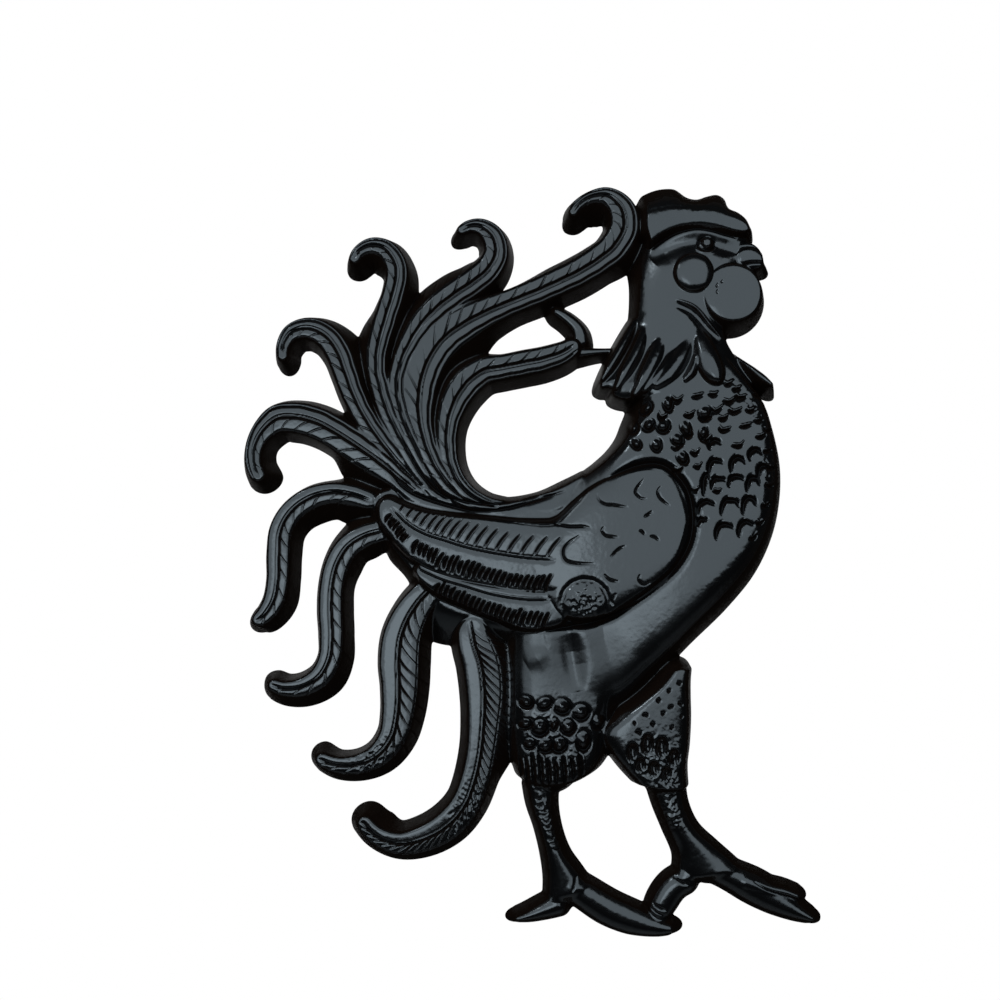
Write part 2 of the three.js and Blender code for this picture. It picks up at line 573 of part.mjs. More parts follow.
/** The screws' clearance holes, from a depth to the hinge line's. */
function screwHoles(depth) {
  const radius = SCREW_R + SCREW_CLEARANCE;
  const profile = [[0, depth], [radius, depth], [radius, 0], [0, 0]];
  return union(screwLevels().map((z) => solidOf(turned(profile, SCREW_SIDES).translate(0, 0, z))));
}

function ring() {
  const [side, corner] = [RING_WIDTH / 2, RING_CORNER];
  const path = new THREE.Path();
  path.moveTo(0, 0);
  path.lineTo(corner - side, 0);
  path.absarc(corner - side, corner, corner, -Math.PI / 2, -Math.PI, true);
  path.absarc(0, RING_SIDE, side, Math.PI, 0, true);
  path.absarc(side - corner, corner, corner, 0, -Math.PI / 2, true);
  path.lineTo(0, 0);
  const points = path.getSpacedPoints(RING_STEPS).slice(0, -1);
  const rings = points.map((p, i) => {
    const way = points[(i + 1) % points.length].clone().sub(points.at(i - 1)).normalize();
    return Array.from({ length: WIRE_SIDES }, (_, j) => {
      const angle = (2 * Math.PI * j) / WIRE_SIDES;
      const out = WIRE_R * Math.cos(angle);
      return new THREE.Vector3(p.x - way.y * out, WIRE_R * Math.sin(angle), p.y + way.x * out);
    });
  });
  return loft(rings, true);
}

/** A pan-head screw, seated on the strap. */
function screw(z) {
  const seat = STRAP_BACK + SEAT_GAP;
  const profile = [
    [0, SCREW_TIP],
    [SCREW_R, SCREW_TIP + SCREW_R / 2],
    [SCREW_R, seat],
    [SCREW_HEAD_R, seat],
    [SCREW_HEAD_R, seat + SCREW_HEAD_HEIGHT / 2],
    [0.6 * SCREW_HEAD_R, seat + SCREW_HEAD_HEIGHT],
    [0, seat + SCREW_HEAD_HEIGHT],
  ];
  return solidOf(turned(profile, SCREW_SIDES).translate(0, 0, z));
}

// The casting and its two hangers together

const HANGERS = [
  { side: 'left', x: HANGER_MIDDLE - HANGER_SPREAD / 2, carrier: 'tail_feather_1', padFoot: TAIL_DEPTH - WALL },
  { side: 'right', x: HANGER_MIDDLE + HANGER_SPREAD / 2, carrier: 'head', padFoot: HEAD_DEPTH - WALL },
];
const PAD_SPAN = [HANGER_HEIGHT - STRAP_LENGTH - PAD_MARGIN, HANGER_HEIGHT + PAD_MARGIN];

/** The pocket that leaves the ring and the strap their room. */
function pocket({ x }) {
  const [half, [foot, top]] = [POCKET_WIDTH / 2, PAD_SPAN];
  return boxOf([x - half, -POCKET_DEPTH, top], [x + half, 1, HANGER_HEIGHT + POCKET_ABOVE])
    .add(boxOf([x - half, -PAD_LEVEL, foot], [x + half, 1, top]));
}

/** The pad under a strap, bored for its screws, or the block that parts it from its neighbours. */
function pad({ x, padFoot }, grow = 0) {
  const [half, [foot, top]] = [PAD_WIDTH / 2 + grow, PAD_SPAN];
  return boxOf([x - half, -padFoot - grow, foot - grow], [x + half, grow - PAD_LEVEL, top + grow]);
}

const bores = ({ x }) => screwHoles(SCREW_TIP - SCREW_CLEARANCE).translate([x, -HINGE_DEPTH, HANGER_HEIGHT]);

/** The casting in its regions. Each is parted from those before it, and the saddle fills up round the feathers. */
function castingRegions() {
  const regions = [
    ['head', head()],
    ['body', body()],
    ['left_leg', leg(LEFT_LEG)],
    ['right_leg', leg(RIGHT_LEG)],
    ...TAIL_FEATHERS.map((own) => [own.name, feather(own, TAIL_DEPTH)]),
    ...SICKLE_FEATHERS.map((own) => [own.name, feather(own, SICKLE_DEPTH)]),
  ].map(([name, forms]) => ({ name, forms, hangers: HANGERS.filter(({ carrier }) => carrier === name) }));
  const fill = saddle();

  const hollows = union([...regions.flatMap(({ forms }) => forms), fill].flatMap(({ hollow }) => hollow ?? []));
  const open = union([hollows, ...HANGERS.map(pocket)]);
  const cutters = regions.map(({ forms, hangers }) => (
    union([...forms.map(({ cutter }) => cutter), ...hangers.map((hanger) => pad(hanger, PARTING))])
  ));
  return regions.map(({ name, forms, hangers }, i) => {
    let solid = union(forms.map((form) => form.solid)).subtract(open);
    for (const hanger of hangers) solid = solid.add(pad(hanger)).subtract(bores(hanger));
    if (i > 0) solid = solid.subtract(union(cutters.slice(0, i)));
    if (name === 'body') solid = solid.add(fill.solid.subtract(open).subtract(union(cutters.toSpliced(i, 1))));
    return [name, mainBody(solid)];
  });
}

const rooster = new THREE.Group();
rooster.position.set(-HANGER_MIDDLE, 0, -HANGER_HEIGHT - RING_REACH);
for (const [name, solid] of castingRegions()) rooster.add(meshOf(solid, name, enamel));
for (const { side, x } of HANGERS) {
  const hanger = new THREE.Group();
  hanger.position.set(x, -HINGE_DEPTH, HANGER_HEIGHT);
  hanger.add(meshOf(strap(), `${side}_hanger_strap`, zinc));
  hanger.add(meshOf(ring(), `${side}_hanger_ring`, zinc));
  screwLevels().forEach((z, i) => hanger.add(meshOf(screw(z), `${side}_hanger_screw_${i + 1}`, zinc)));
  rooster.add(hanger);
}
export default rooster;
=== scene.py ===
"""A rooster wall hanging: a casting in relief under gloss black enamel, hollow behind, on two ring hangers.

The relief is worked out as a height over the wall plane on a fine lattice, in millimetres from the middle
of the body, [x, z] as seen from the front. Each region of the casting then becomes a closed mesh in metres.
"""
import math

import bmesh
import bpy
import numpy as np
from mathutils import Matrix, Vector


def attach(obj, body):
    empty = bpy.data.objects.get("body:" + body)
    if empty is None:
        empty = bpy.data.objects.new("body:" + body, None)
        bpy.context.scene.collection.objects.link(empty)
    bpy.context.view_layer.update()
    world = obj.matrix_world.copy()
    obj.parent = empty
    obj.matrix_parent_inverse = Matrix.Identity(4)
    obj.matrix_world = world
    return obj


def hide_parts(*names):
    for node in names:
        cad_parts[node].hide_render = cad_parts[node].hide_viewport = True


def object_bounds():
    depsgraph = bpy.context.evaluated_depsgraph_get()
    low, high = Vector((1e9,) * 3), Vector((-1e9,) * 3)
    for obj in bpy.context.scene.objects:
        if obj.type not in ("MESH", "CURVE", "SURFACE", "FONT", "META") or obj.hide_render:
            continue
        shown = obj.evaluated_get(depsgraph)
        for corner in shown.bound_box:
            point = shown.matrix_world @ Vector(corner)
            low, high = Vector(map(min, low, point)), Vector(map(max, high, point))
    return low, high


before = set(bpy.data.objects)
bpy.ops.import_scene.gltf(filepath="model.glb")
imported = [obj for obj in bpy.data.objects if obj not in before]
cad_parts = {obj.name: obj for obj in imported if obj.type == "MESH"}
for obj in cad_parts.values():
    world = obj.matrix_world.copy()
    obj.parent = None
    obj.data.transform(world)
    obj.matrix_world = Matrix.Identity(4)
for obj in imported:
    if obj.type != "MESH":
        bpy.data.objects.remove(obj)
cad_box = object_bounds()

MM = 0.001
MERGED = 1e-4  # points closer than this are one
ON_WALL = 1e-5  # and this close to the wall plane, they lie on it

# Where the hangers are, and the frame's origin with them, which lies between the two hooks
HANGER_MIDDLE = 6
HANGER_SPREAD = 120
HANGERS = {"left": HANGER_MIDDLE - HANGER_SPREAD / 2, "right": HANGER_MIDDLE + HANGER_SPREAD / 2}
HANGER_HEIGHT = 82
HOOK_ABOVE_HINGE = 9.8
HINGE_DEPTH = 3.45
ORIGIN = (-HANGER_MIDDLE, -HANGER_HEIGHT - HOOK_ABOVE_HINGE)

# The lattice
PITCH = 0.4
LEFT, FOOT = -152.0, -218.0
COLUMNS, ROWS = 745, 965
OUTSIDE = -3.0
SOFTENING = 0.42  # how far the enamel rounds the metal's edges
FILLET = 1.0
EDGE_MARGIN = 0.3  # between the relief and the CAD's box
NECK_FOOT = 14  # above this the breast's mesh is the neck's

# How late a face falls off to its edges, as the power of the share of the way out from its middle
DOME, FLAT_DOME, BROAD_DOME, VANE, FLAT_TO_EDGE = 2.4, 4, 5.5, 7, 12

# How a feather's barbs lie
SHAFT_SHARE = 0.42  # the shaft's line, as a share of the way across
VANE_START = 1.3  # the inner vane's start beside it
VANE_SHARE = 0.58  # the vane's end, as a share of the width
MOST_BARBS = 200
TAIL_ROOT, SICKLE_ROOT = 24, 4  # the length at a feather's root that has no barbs

# Where the almost glossless enamel copy paints shade: in grooves narrower than this, deeper than this, and on
# walls steeper than this
BROAD = 2.6
SHADED_BELOW = -0.5
WALL_SLOPE = 1.25

# Depths of the relief, from the wall to the raised faces
TAIL_DEPTH = 16
TIE_DROP = 4
SICKLE_DEPTH = 14
SADDLE_DEPTH = 14
BREAST_DEPTH = 24
BREAST_ROUND = 4
WING_DEPTH = 22
WING_STEP = 0.9
WING_LEVEL = 24  # where the wing's lines are taken to lie
SHOULDER_LEVEL = 26
SHOULDER_CROWN = 2
HEAD_DEPTH = 19
HEAD_ROUND = 6
COMB_DEPTH = 20.4
BEAK_DEPTH = 16.5
HACKLE_DEPTH = 25
HACKLE_DROP = 2.7  # how far the skirt under the locks lies below them
HACKLE_FALL = 10  # and how far it falls off to the neck, from one height to another
HACKLE_FROM, HACKLE_TO = 60, 94
THIGH_DEPTH = 17
LEFT_THIGH_ROUND, RIGHT_THIGH_ROUND = 4, 3
SHANK_DEPTH = 12
TOE_DEPTH = 11
LEG_ROUND = 3
DRAFT = 3.6
TOE_DRAFT = 2.8
END_REACH = 4.9
VANE_ROUND = 0.7
WALL_BULGE = 1.15  # the power by which a side wall bulges
WALL_END = 1.3  # how far down a wall goes on, as a share of its draft
WALL = 3.2
LEAST_HOLLOW = 3.6
END_SOLID = 5  # how much of a strip's ends stays solid behind
LEAST_WALL = 1.6

# The pockets and pads of the hangers
POCKET_HALF = 10
POCKET_DEPTH = 9.5
POCKET_TOP = 97
PAD_HALF = 6.5
PAD_LEVEL = 6.4
PAD_FOOT, PAD_TOP = 53, 84

# A feather's rows run from its tip to its root: [x, z, half-width of the face], and where a side wall
# leans out more or less than the usual draft, the draft on the left and on the right as one walks it.
FEATHERS = {
    "tail_feather_1": [
        [15.5, 146, 2, 3, 5], [18.5, 151, 2.4, 3.6, 7], [24.5, 155, 2.8, 3.6, 8], [33, 156, 4.2, 3.6, 8],
        [40, 150.5, 6.2], [42, 141, 7, 5.5, 3.6], [37, 131, 7, 5.5, 4], [29, 124.2, 6.7, 3.6, 5],
        [19, 118, 6.5, 3.6, 5.6], [9, 113.2, 6.3, 3.6, 5.6], [-2, 108.3, 6.2, 3.6, 4.6],
        [-14, 103.5, 6.2], [-26, 98.5, 7, 5, 3.6], [-37, 93, 8, 9, 3.6], [-47, 86, 8.5, 9, 3.6],
        [-54, 77, 8.5, 6, 3.6], [-58.5, 66, 8.3], [-60, 55, 7.5], [-59.5, 45, 6], [-57, 34, 5],
        [-52, 22, 4.5], [-44, 11, 4], [-34, 4, 3.4], [-22, 0.5, 2.8],
    ],
    "tail_feather_2": [
        [19, 83, 3.4], [12, 78.5, 5], [2, 75, 5.8], [-8, 73, 6], [-18, 71, 6], [-28, 69, 6.5, 3.6, 5],
        [-36, 63, 7, 3.6, 8], [-42, 54, 6.4, 3.6, 8], [-45.5, 43, 5.2, 3.6, 7], [-46, 32, 4.6],
        [-43.8, 20.6, 4.2], [-37.8, 10.6, 3.9], [-28, 3.8, 3.5], [-16, 1, 3],
    ],
    "tail_feather_3": [
        [-40.5, 137.6, 2.2, 3.6, 2.6], [-35.5, 140.6, 3, 3.6, 2.6], [-29.4, 140.6, 4, 3.6, 3],
        [-24, 136.6, 5.2, 3, 3.6], [-21.5, 129, 5.8, 2.4, 4], [-24.5, 120.8, 6.2, 3, 5.4],
        [-32, 113.8, 6.4, 3.6, 7], [-41, 107.8, 6.4, 3.6, 8.5], [-50, 101, 6.2, 3.6, 9],
        [-58, 93, 5.6, 3.6, 9], [-64.5, 83, 4.8, 3.6, 7], [-69, 73, 4.2], [-71, 63, 4], [-70, 53, 4],
        [-67, 43, 3.8], [-62, 32, 3.6], [-55, 19, 3.4], [-46, 8, 3],
    ],
    "tail_feather_4": [
        [-93, 122.5, 2.4, 3.6, 5], [-90, 128, 3, 3.6, 7], [-83.5, 131.3, 3.8, 3.6, 7.5],
        [-76, 129, 4.6, 3.6, 7], [-71, 120, 5.2], [-72, 110, 5.2, 5, 3.6], [-75, 100, 5.2, 5, 4.6],
        [-78, 90, 5.2, 3.6, 7.5], [-80.5, 80, 4.8, 3.6, 9], [-81, 70, 4.5, 3.6, 6], [-79, 60, 4.5],
        [-76, 50, 4.5], [-71.5, 40, 4.2], [-66, 30, 4], [-59, 18, 3.6], [-50, 7, 3],
    ],
    "tail_feather_5": [
        [-127.3, 74, 2.4], [-127.5, 81, 3.2], [-123.5, 87.8, 4.2], [-116, 90.3, 5],
        [-107.5, 87.5, 5.7, 4.4, 3.6], [-101, 80, 6, 6.5, 3.6], [-97, 70, 5.8, 6.5, 3.6],
        [-93.5, 60, 5.5], [-89, 50, 5.2], [-83, 40, 5.2], [-76, 30.5, 5], [-67, 20, 4.4], [-56, 10, 3.6],
    ],
    "tail_feather_6": [
        [-138.6, 14.5, 3.4, 5, 6], [-142, 24, 3.8, 4.6, 4.6], [-141, 33, 4.4, 4.2, 3.6],
        [-136.4, 40.6, 5.6], [-130, 45.5, 6.8], [-120, 45.8, 7.4], [-110, 43, 7.6], [-100, 37.5, 7.6],
        [-90, 31, 7.6, 3.6, 9], [-80, 24, 6.8, 3.6, 10], [-69, 15, 5.4], [-58, 6, 4.4],
    ],
    "sickle_feather_1": [
        [-142.5, -56, 3], [-137.5, -52.5, 4, 3.6, 4.5], [-132.5, -45, 5, 3.6, 4.5], [-130.3, -34, 5.3],
        [-130, -22, 5.6], [-129, -10, 5.6, 3, 4.5], [-124, -0.8, 5.4, 2.6, 6], [-115, 6, 5.2, 2.6, 7.5],
        [-104, 9, 4.8, 2.6, 8], [-94, 8, 4.6, 6, 9.5], [-82, 4, 4, 8, 6],
    ],
    "sickle_feather_2": [
        [-135, -86, 2.8, 4, 6], [-127, -88.5, 3.6, 3, 6.5], [-118, -87.6, 4.4, 3, 6.5],
        [-109.5, -82.4, 5, 3, 6.5], [-104.7, -73.5, 5.4, 3, 5], [-103.5, -62, 5.7], [-104, -50, 5.9],
        [-103.5, -38, 5.8], [-101, -27, 5.8, 3.6, 5], [-95.5, -18, 5.6, 4.5, 5], [-87, -12.5, 5.2, 7, 6],
        [-74, -9, 5],
    ],
    "sickle_feather_3": [
        [-111.3, -122.8, 3.2, 4.5, 4.5], [-101, -126.4, 4, 2, 5.5], [-90, -126, 4.8, 2, 5.5],
        [-80.5, -121.5, 5.6, 2.6, 5.5], [-73.5, -112.5, 6.6, 3, 5], [-70.7, -101, 7.7, 3, 5],
        [-69.8, -88, 8.8, 3, 5], [-70, -76, 9.6, 3, 5], [-69, -64, 9.3, 3, 5], [-65.5, -54, 8.4, 3, 5],
        [-59, -44, 7], [-49, -34, 5],
    ],
    "sickle_feather_4": [
        [-89.5, -153, 3.4, 6, 5.4], [-81.5, -161.5, 4.2, 7, 5.6], [-70.5, -165.5, 5.2, 4, 5.6],
        [-58, -163.2, 6.2, 4, 5.6], [-46, -156.6, 7, 4, 5], [-37.5, -146.8, 7, 4, 4.4],
        [-32.5, -134, 6.8, 4.6, 5], [-29.5, -120, 6.8, 5, 10], [-28, -105, 7.6, 5, 11],
        [-27.5, -90, 8.8, 5, 8], [-29, -77, 9, 5, 8], [-32.5, -66, 8, 5, 8], [-35, -54, 6],
    ],
}
TIES = [
    [[7, 100, 1.8], [14, 95.5, 2.4], [19.5, 89.5, 2.8], [20.5, 82, 3.4]],
    [[44, 79.5, 1.8, 1.8, 2], [32, 79.3, 1.6, 1.8, 2], [17, 78.5, 2.4]],
]

# Each feather's barbs: how far apart, and how strongly cut
BARBS = {
    "tail_feather_1": (7.5, 0.8),
    "tail_feather_2": (8, 0.75),
    "tail_feather_3": (7.5, 0.85),
    "tail_feather_4": (8, 0.85),
    "tail_feather_5": (8, 0.85),
    "tail_feather_6": (9, 0.95),
    "sickle_feather_1": (8, 0.9),
    "sickle_feather_2": (8.3, 0.9),
    "sickle_feather_3": (6.5, 1.15),
    "sickle_feather_4": (4.1, 1.2),
}

# A broad form lies between two edges of its face, given by rows of [x, z, draft of the side wall]
SADDLE = {
    "left": [[-84, 8], [-64, 12], [-42, 7], [-22, 3.4, 5], [-4, 5.8, 5], [12, 11.8, 5], [24, 18.6, 4]],
    "right": [
        [-81, -7, 6], [-74, -16, 8], [-63, -30, 7], [-50, -46, 19], [-30, -54, 16], [8, -60, 6],
        [26, -56, 4],
    ],
}
BREAST = {
    "left": [
        [-4, -12, 5], [8, -3, 5], [19, 13, 5], [28, 20, 5], [35, 26, 5], [41, 32, 6], [46, 38.4, 8],
        [50, 45, 9], [52, 51.4, 9.6], [52.6, 58, 9.6], [53.6, 65, 9], [55, 73, 7], [60, 82, 5],
        [66, 89, 5],
    ],
    "right": [
        [2, -74, 9], [17, -88, 12], [37, -89, 12], [55, -74, 11.5], [73, -57, 10], [89.5, -40.5, 9.8],
        [103, -24, 9.2], [111.4, -6, 8.6], [114.8, 12, 8.2], [115, 28, 7.4], [112.6, 43, 6],
        [108.4, 55.5, 5.6], [99, 68, 5], [90, 80, 5],
    ],
    "sunk": [10, 9.4, 7.6, 4.6, 1.6, 0.3, 0, 0, 0.3, 1, 2, 3.4, 5.6, 9],
}
WING_LAYERS = [
    {
        "left": [[-61, -27], [-50, -31], [-38, -35], [-22, -38], [-5, -40], [14, -40]],
        "right": [[-61, -33], [-53, -40], [-38, -47], [-23, -53], [-7, -58.5], [14, -57]],
    },
    {
        "left": [[-77, 8], [-68, 3], [-56, -1], [-42, -3], [-26, -4.5], [-8, -6], [12, -6]],
        "right": [[-81, -4], [-74, -13], [-62, -25], [-46, -32], [-28, -36], [-8, -39], [14, -39]],
    },
    {
        "left": [
            [-14, -9], [-2, -7], [8, -4.5], [16, 2.5], [26, 10.5], [38, 16.5], [50, 19], [61, 17],
            [69, 10], [72.5, 0],
        ],
        "right": [
            [-12, -17], [-4, -28], [4, -42], [12, -52], [27, -53], [42, -48], [54, -41], [64, -31.5],
            [70, -20], [73, -10],
        ],
        "sunk": [6, 3.6, 1.6, 0.4, 0, 0, 0, 0, 0],
    },
]
NECK = {
    "left": [
        [49, 60, 5], [48, 76, 5], [49, 92, 5], [50, 104, 5], [51, 114, 6], [53, 122, 9], [56, 129, 11],
        [58, 136, 11], [60, 143, 9], [62, 148, 8],
    ],
    "right": [
        [108, 60], [97, 76], [91, 88], [92, 100], [98, 112], [102, 120], [103, 128], [103, 135],
        [102, 141], [99, 145],
    ],
}
COMB = {
    "left": [
        [51.5, 146.5, 13.4], [58, 148, 15.4], [64.6, 149, 15.8], [71.4, 149, 11.4], [76, 148.4, 11.2],
        [80.4, 148.2, 13], [85, 148, 14.2], [89.2, 147, 12.8], [92.6, 145.6, 9.4], [97, 144.2, 8.6],
        [101, 141.8, 7.4], [103.4, 138.6, 5.6],
    ],
    "right": [
        [53.6, 130.4, 1.4], [58, 134, 1.4], [63, 136.8, 1.4], [68.4, 138.8, 1.4], [73, 139.6, 1.4],
        [77.6, 140, 1.4], [82, 139.8, 1.4], [86.2, 139, 1.4], [90, 138, 1.4], [94, 136.8, 1.4],
        [98.6, 136, 1.4], [102.4, 136.2, 1.4],
    ],
}
BEAK = {
    "left": [[96, 134.6], [102, 133.6], [107, 131.6], [110.4, 127.8], [111.6, 123.6]],
    "right": [[97, 119.5], [102, 119.4], [106, 119.2], [109, 119.4], [110.6, 120]],
}
LEGS = {
    "left_leg": {
        "thigh": {
            "left": [
                [-11, -42, 6], [-11, -58, 6], [-11, -80, 8], [-11, -100, 8], [-10.5, -115, 7],
                [-9.5, -128, 4.6], [-7, -138],
            ],
            "right": [
                [30, -42], [30, -60], [33, -80, 6], [32, -98, 9], [30, -112, 10], [27.4, -125, 6.5],
                [20, -137],
            ],
        },
        "shank": {
            "left": [[-6.5, -134], [-4, -148], [0, -160], [3, -172], [4.6, -184], [4, -198]],
            "right": [[6.5, -134], [6, -148], [8, -160], [12, -171], [18, -180], [25, -190]],
        },
        "toes": [
            [[-13, -204.2, 1.4], [-6, -202.6, 3], [3, -199.6, 4.6], [13, -196, 5.8]],
            [
                [67.5, -209.2, 2.6], [59, -208.6, 4.6], [48, -205.8, 6.4], [35, -200.5, 7],
                [23, -193, 6.6], [12, -186, 6],
            ],
        ],
    },
    "right_leg": {
        "thigh": {
            "left": [
                [67, -78, 8], [59.6, -87, 8], [50, -95, 8], [41, -102, 8], [33.6, -110.4, 7],
                [36.6, -120, 4], [43.4, -129, 4], [51, -138],
            ],
            "right": [
                [73.6, -78], [73, -86], [73, -94], [73.2, -102], [73, -110], [72.4, -119], [71.4, -128],
                [72, -140],
            ],
        },
        "shank": {
            "left": [[55, -132], [60, -148], [65, -160], [70, -172], [70, -181], [72, -186]],
            "right": [[70, -132], [72, -147], [77, -158], [86, -167], [94, -174], [102, -181]],
        },
        "toes": [
            [
                [138, -204.8, 1.8], [130, -201.2, 4], [119, -195.5, 6.2], [108, -189.5, 7],
                [96, -183.5, 6], [86, -179, 5.5],
            ],
            [[130.5, -193.4, 2.2], [122, -190.4, 2.6], [112, -188.4, 3], [100, -184.6, 4]],
            [[59, -204.5, 5], [61.5, -197.5, 6], [67.5, -189, 6.2], [77.5, -183.5, 6]],
        ],
    },
}

# Round forms on the head: [x, z, radius, depth, crown, draft]
ROUNDS = {
    "ear": [75.6, 116.6, 9.2, 22, 1.8, 2],
    "wattle": [95.2, 106.8, 14, 20, 0.9, 4.6],
    "eye": [82.6, 132, 2.7, 21, 1.3, 1],
}

# Where forms run smoothly into each other: [x, z, reach across, reach up]
BLENDED = [(14, -76, 25, 13), (48, -66, 12, 7), (2, 4, 10, 4), (60, 94, 13, 6)]

# The hackle's hem, and its locks from the tip to the root: [x, z, half-width, sunk below the fullest]
HACKLE = [
    (50, 95), (45, 85.5), (40, 79.6), (36.2, 72.5), (33, 67.5), (30.2, 63.4), (30.4, 61.6), (35.4, 61),
    (36.8, 57.4), (41.5, 55.6), (45, 55.6), (49.4, 56.4), (57, 58.4), (64, 59.4), (70, 61), (74.5, 65),
    (78, 69), (80, 78), (84, 86), (82, 92), (76, 96), (62, 97),
]
LOCKS = [
    [
        [30, 62.6, 1.2, 2.6], [34.4, 69.8, 2.4, 2.8], [40.2, 80, 2.9, 5.4], [44.9, 89.3, 2.4, 9],
        [47.9, 96, 1.4, 12],
    ],
    [
        [37, 58, 1.5, 1.4], [41.6, 66.8, 3.1, 1.6], [47.3, 77.3, 3.5, 4.6], [51.3, 88, 3, 8.6],
        [52.6, 94.7, 2, 12],
    ],
    [
        [45.6, 54.6, 1.8, 0.6], [51.3, 64, 3.8, 0.6], [56.6, 74.7, 4.3, 3.2], [60.4, 85.3, 3.6, 7.4],
        [62, 92, 2.2, 11],
    ],
    [[50.4, 57, 1.5, 1.6], [56, 63.4, 2.5, 1.2], [62.6, 72, 2.5, 3], [67, 80, 1.6, 7]],
    [
        [55.4, 59.4, 2, 0.8], [62.4, 65, 4.1, 0.4], [69.4, 74.7, 4.6, 2.4], [73, 82.7, 3.8, 5.6],
        [74.4, 90, 2.4, 9],
    ],
    [[70, 62.4, 1.4, 2], [74, 67, 2.4, 1.8], [76.4, 74, 2.2, 3.4], [77, 82, 1.4, 7]],
    [
        [88.2, 61.4, 2.2, 0.4], [85.6, 66, 5, 0], [82.4, 73.6, 5.8, 0.8], [79.6, 82.6, 4.6, 3.6],
        [77.4, 92, 2.4, 8],
    ],
    [
        [114.6, 60.4, 1.4, 3], [110, 64.2, 2.2, 3.4], [105.4, 68.6, 2, 5.4], [101, 73, 1.6, 9],
        [97.6, 77, 1, 13],
    ],
]

# What was carved and stamped into the pattern's faces. These lines are taken as seen at the outline's level.
UPPER_LINE = [
    (-73.9, 12.1), (-66.8, 3.8), (-49, -1), (-34.7, -2.2), (-13.4, -5.1), (6.8, -6.3), (10.4, -3.4),
    (23.4, 9.7),
]
UPPER_BRANCH = [(6.8, -6.3), (13.9, -8.1), (22, -8.3), (25, -9)]
FIRST_SHAFT = [
    (-73.9, 1.4), (-65.6, -6.9), (-57.3, -11.7), (-46.6, -15.2), (-37.1, -18.2), (-22.9, -21.2),
    (-7.4, -23.5), (8, -24.7),
]
SECOND_SHAFT = [(-62, -28.3), (-49, -34.2), (-37.1, -37.8), (-22.9, -41.9), (-6.2, -44.3), (5.6, -44.3)]
STROKES = [
    -70.5, -67.3, -64, -60.7, -57.3, -53.9, -50.4, -46.6, -42.6, -38.2, -33.6, -28.6, -23, -17, -10.6,
    -4, 2.4,
]
TEETH = [
    {"line": [(-75, -4), (-70.5, -9.5), (-66.2, -15)], "pitch": 1.9, "length": 4.6, "lean": 0.9},
    {
        "line": [
            (-61.5, -18), (-49, -24.7), (-37.1, -29.3), (-25.2, -32), (-13.4, -35), (-1.5, -36.4),
            (6, -35.6),
        ],
        "pitch": 2.75,
        "length": 8.6,
        "lean": 0.44,
    },
    {
        "line": [(-51, -38.6), (-38, -44.2), (-22, -50), (-8, -53.8), (4, -55)],
        "pitch": 2.7,
        "length": 8.2,
        "lean": 0.42,
    },
]
SHOULDER_GROOVE = [
    (33, 15.4), (42, 20), (52.4, 23), (61.4, 22.2), (72.1, 12.1), (75.7, -1), (74.5, -15.2),
    (67.3, -28.3), (55.5, -39), (43.6, -47.3), (34.1, -53.2), (16.3, -57.4), (-1.5, -60),
]
SHOULDER_MARKS = [
    [(28.2, 8.5), (29.4, 5), (32.5, 3), (36.5, 2.6), (43.6, 1.4)],
    [(51.9, 16.2), (47.2, 9.1), (50, 6), (53.1, 5.5)],
    [(60.2, 12.1), (58.4, 9.6), (59.4, 6), (64.4, 2)],
    [(55.5, -0.4), (53.6, -2.2), (51.3, -3.4)],
    [(31.7, -8.1), (30.6, -10), (32.5, -12.6), (38.9, -13.4)],
    [(49, -10), (50.6, -10.8), (52, -12.3)],
    [(54.3, -12.9), (56.8, -13.4), (59, -15.2)],
    [(42.4, -17.6), (39, -19.4), (34.7, -23.5)],
    [(19.9, -12.3), (13.6, -16.6), (11.6, -20), (12.8, -24.7), (19, -26.4), (27, -26.5)],
    [(31.7, -31.8), (34.6, -34.6), (38.9, -35.4)],
    [(49.5, -31.8), (49, -34.6), (51.6, -36.8), (56.1, -35.4)],
    [(37.7, -41.3), (35.8, -44.4), (36.5, -47.3)],
]
SADDLE_LINES = [
    [
        (-75.6, 22.7), (-70.5, 14.5), (-64.4, 9.2), (-48.9, 3.4), (-31.1, -0.6), (-15.7, 1), (-1.4, 5.2),
        (13, 9.6),
    ],
    [(-57.2, 16.8), (-52, 10), (-46.6, 6.7), (-29.9, 3.1), (-13.3, 4)],
]
KNOB = (22.3, -46.1, 9.5)
NECK_BEADS = [
    (52.9, 51, 2.4), (63.5, 53.2, 2.6), (46.6, 41.7, 2.1), (54, 42.3, 2.3), (61, 41.7, 2.7),
    (47.7, 33, 2.1), (57.5, 32.5, 2.5), (68, 35.2, 2.6), (82, 48.8, 2.6), (72.2, 41, 2.6),
    (81, 38.6, 2.2), (70.5, 26, 2.4),
]
NECK_PITS = [
    (68, 56, 5), (78.2, 56.8, 5), (94, 55.4, 5.4), (82, 46.4, 5.6), (96.8, 50, 5.6), (73.4, 37.8, 4.4),
    (82, 36, 4.4), (91.7, 40.6, 5), (102, 42, 5.2), (67.9, 32.2, 5.2), (97.8, 33, 5), (68.4, 20.8, 4.4),
    (76.6, 29.4, 4), (77.8, 22.4, 3.6), (87.5, 9.6, 3.6), (77, 10.5, 3.2), (104.6, 50.4, 4.4),
    (108.6, 45, 4.4), (109.6, 37.4, 4.6), (88, 51, 4.6), (61, 47.4, 4), (114, 13, 4), (112.4, 4, 4),
    (109.4, -5, 4), (100, 57, 4.4), (86, 58, 4.2), (74, 48, 4.6), (91, 46.4, 4.2), (108, 58, 3.6),
    (113, 30, 4.2), (94, 64, 4), (98, 61, 3.6), (113.4, 41, 3.6), (106, -12, 3.4), (115.4, 22, 3.6),
]
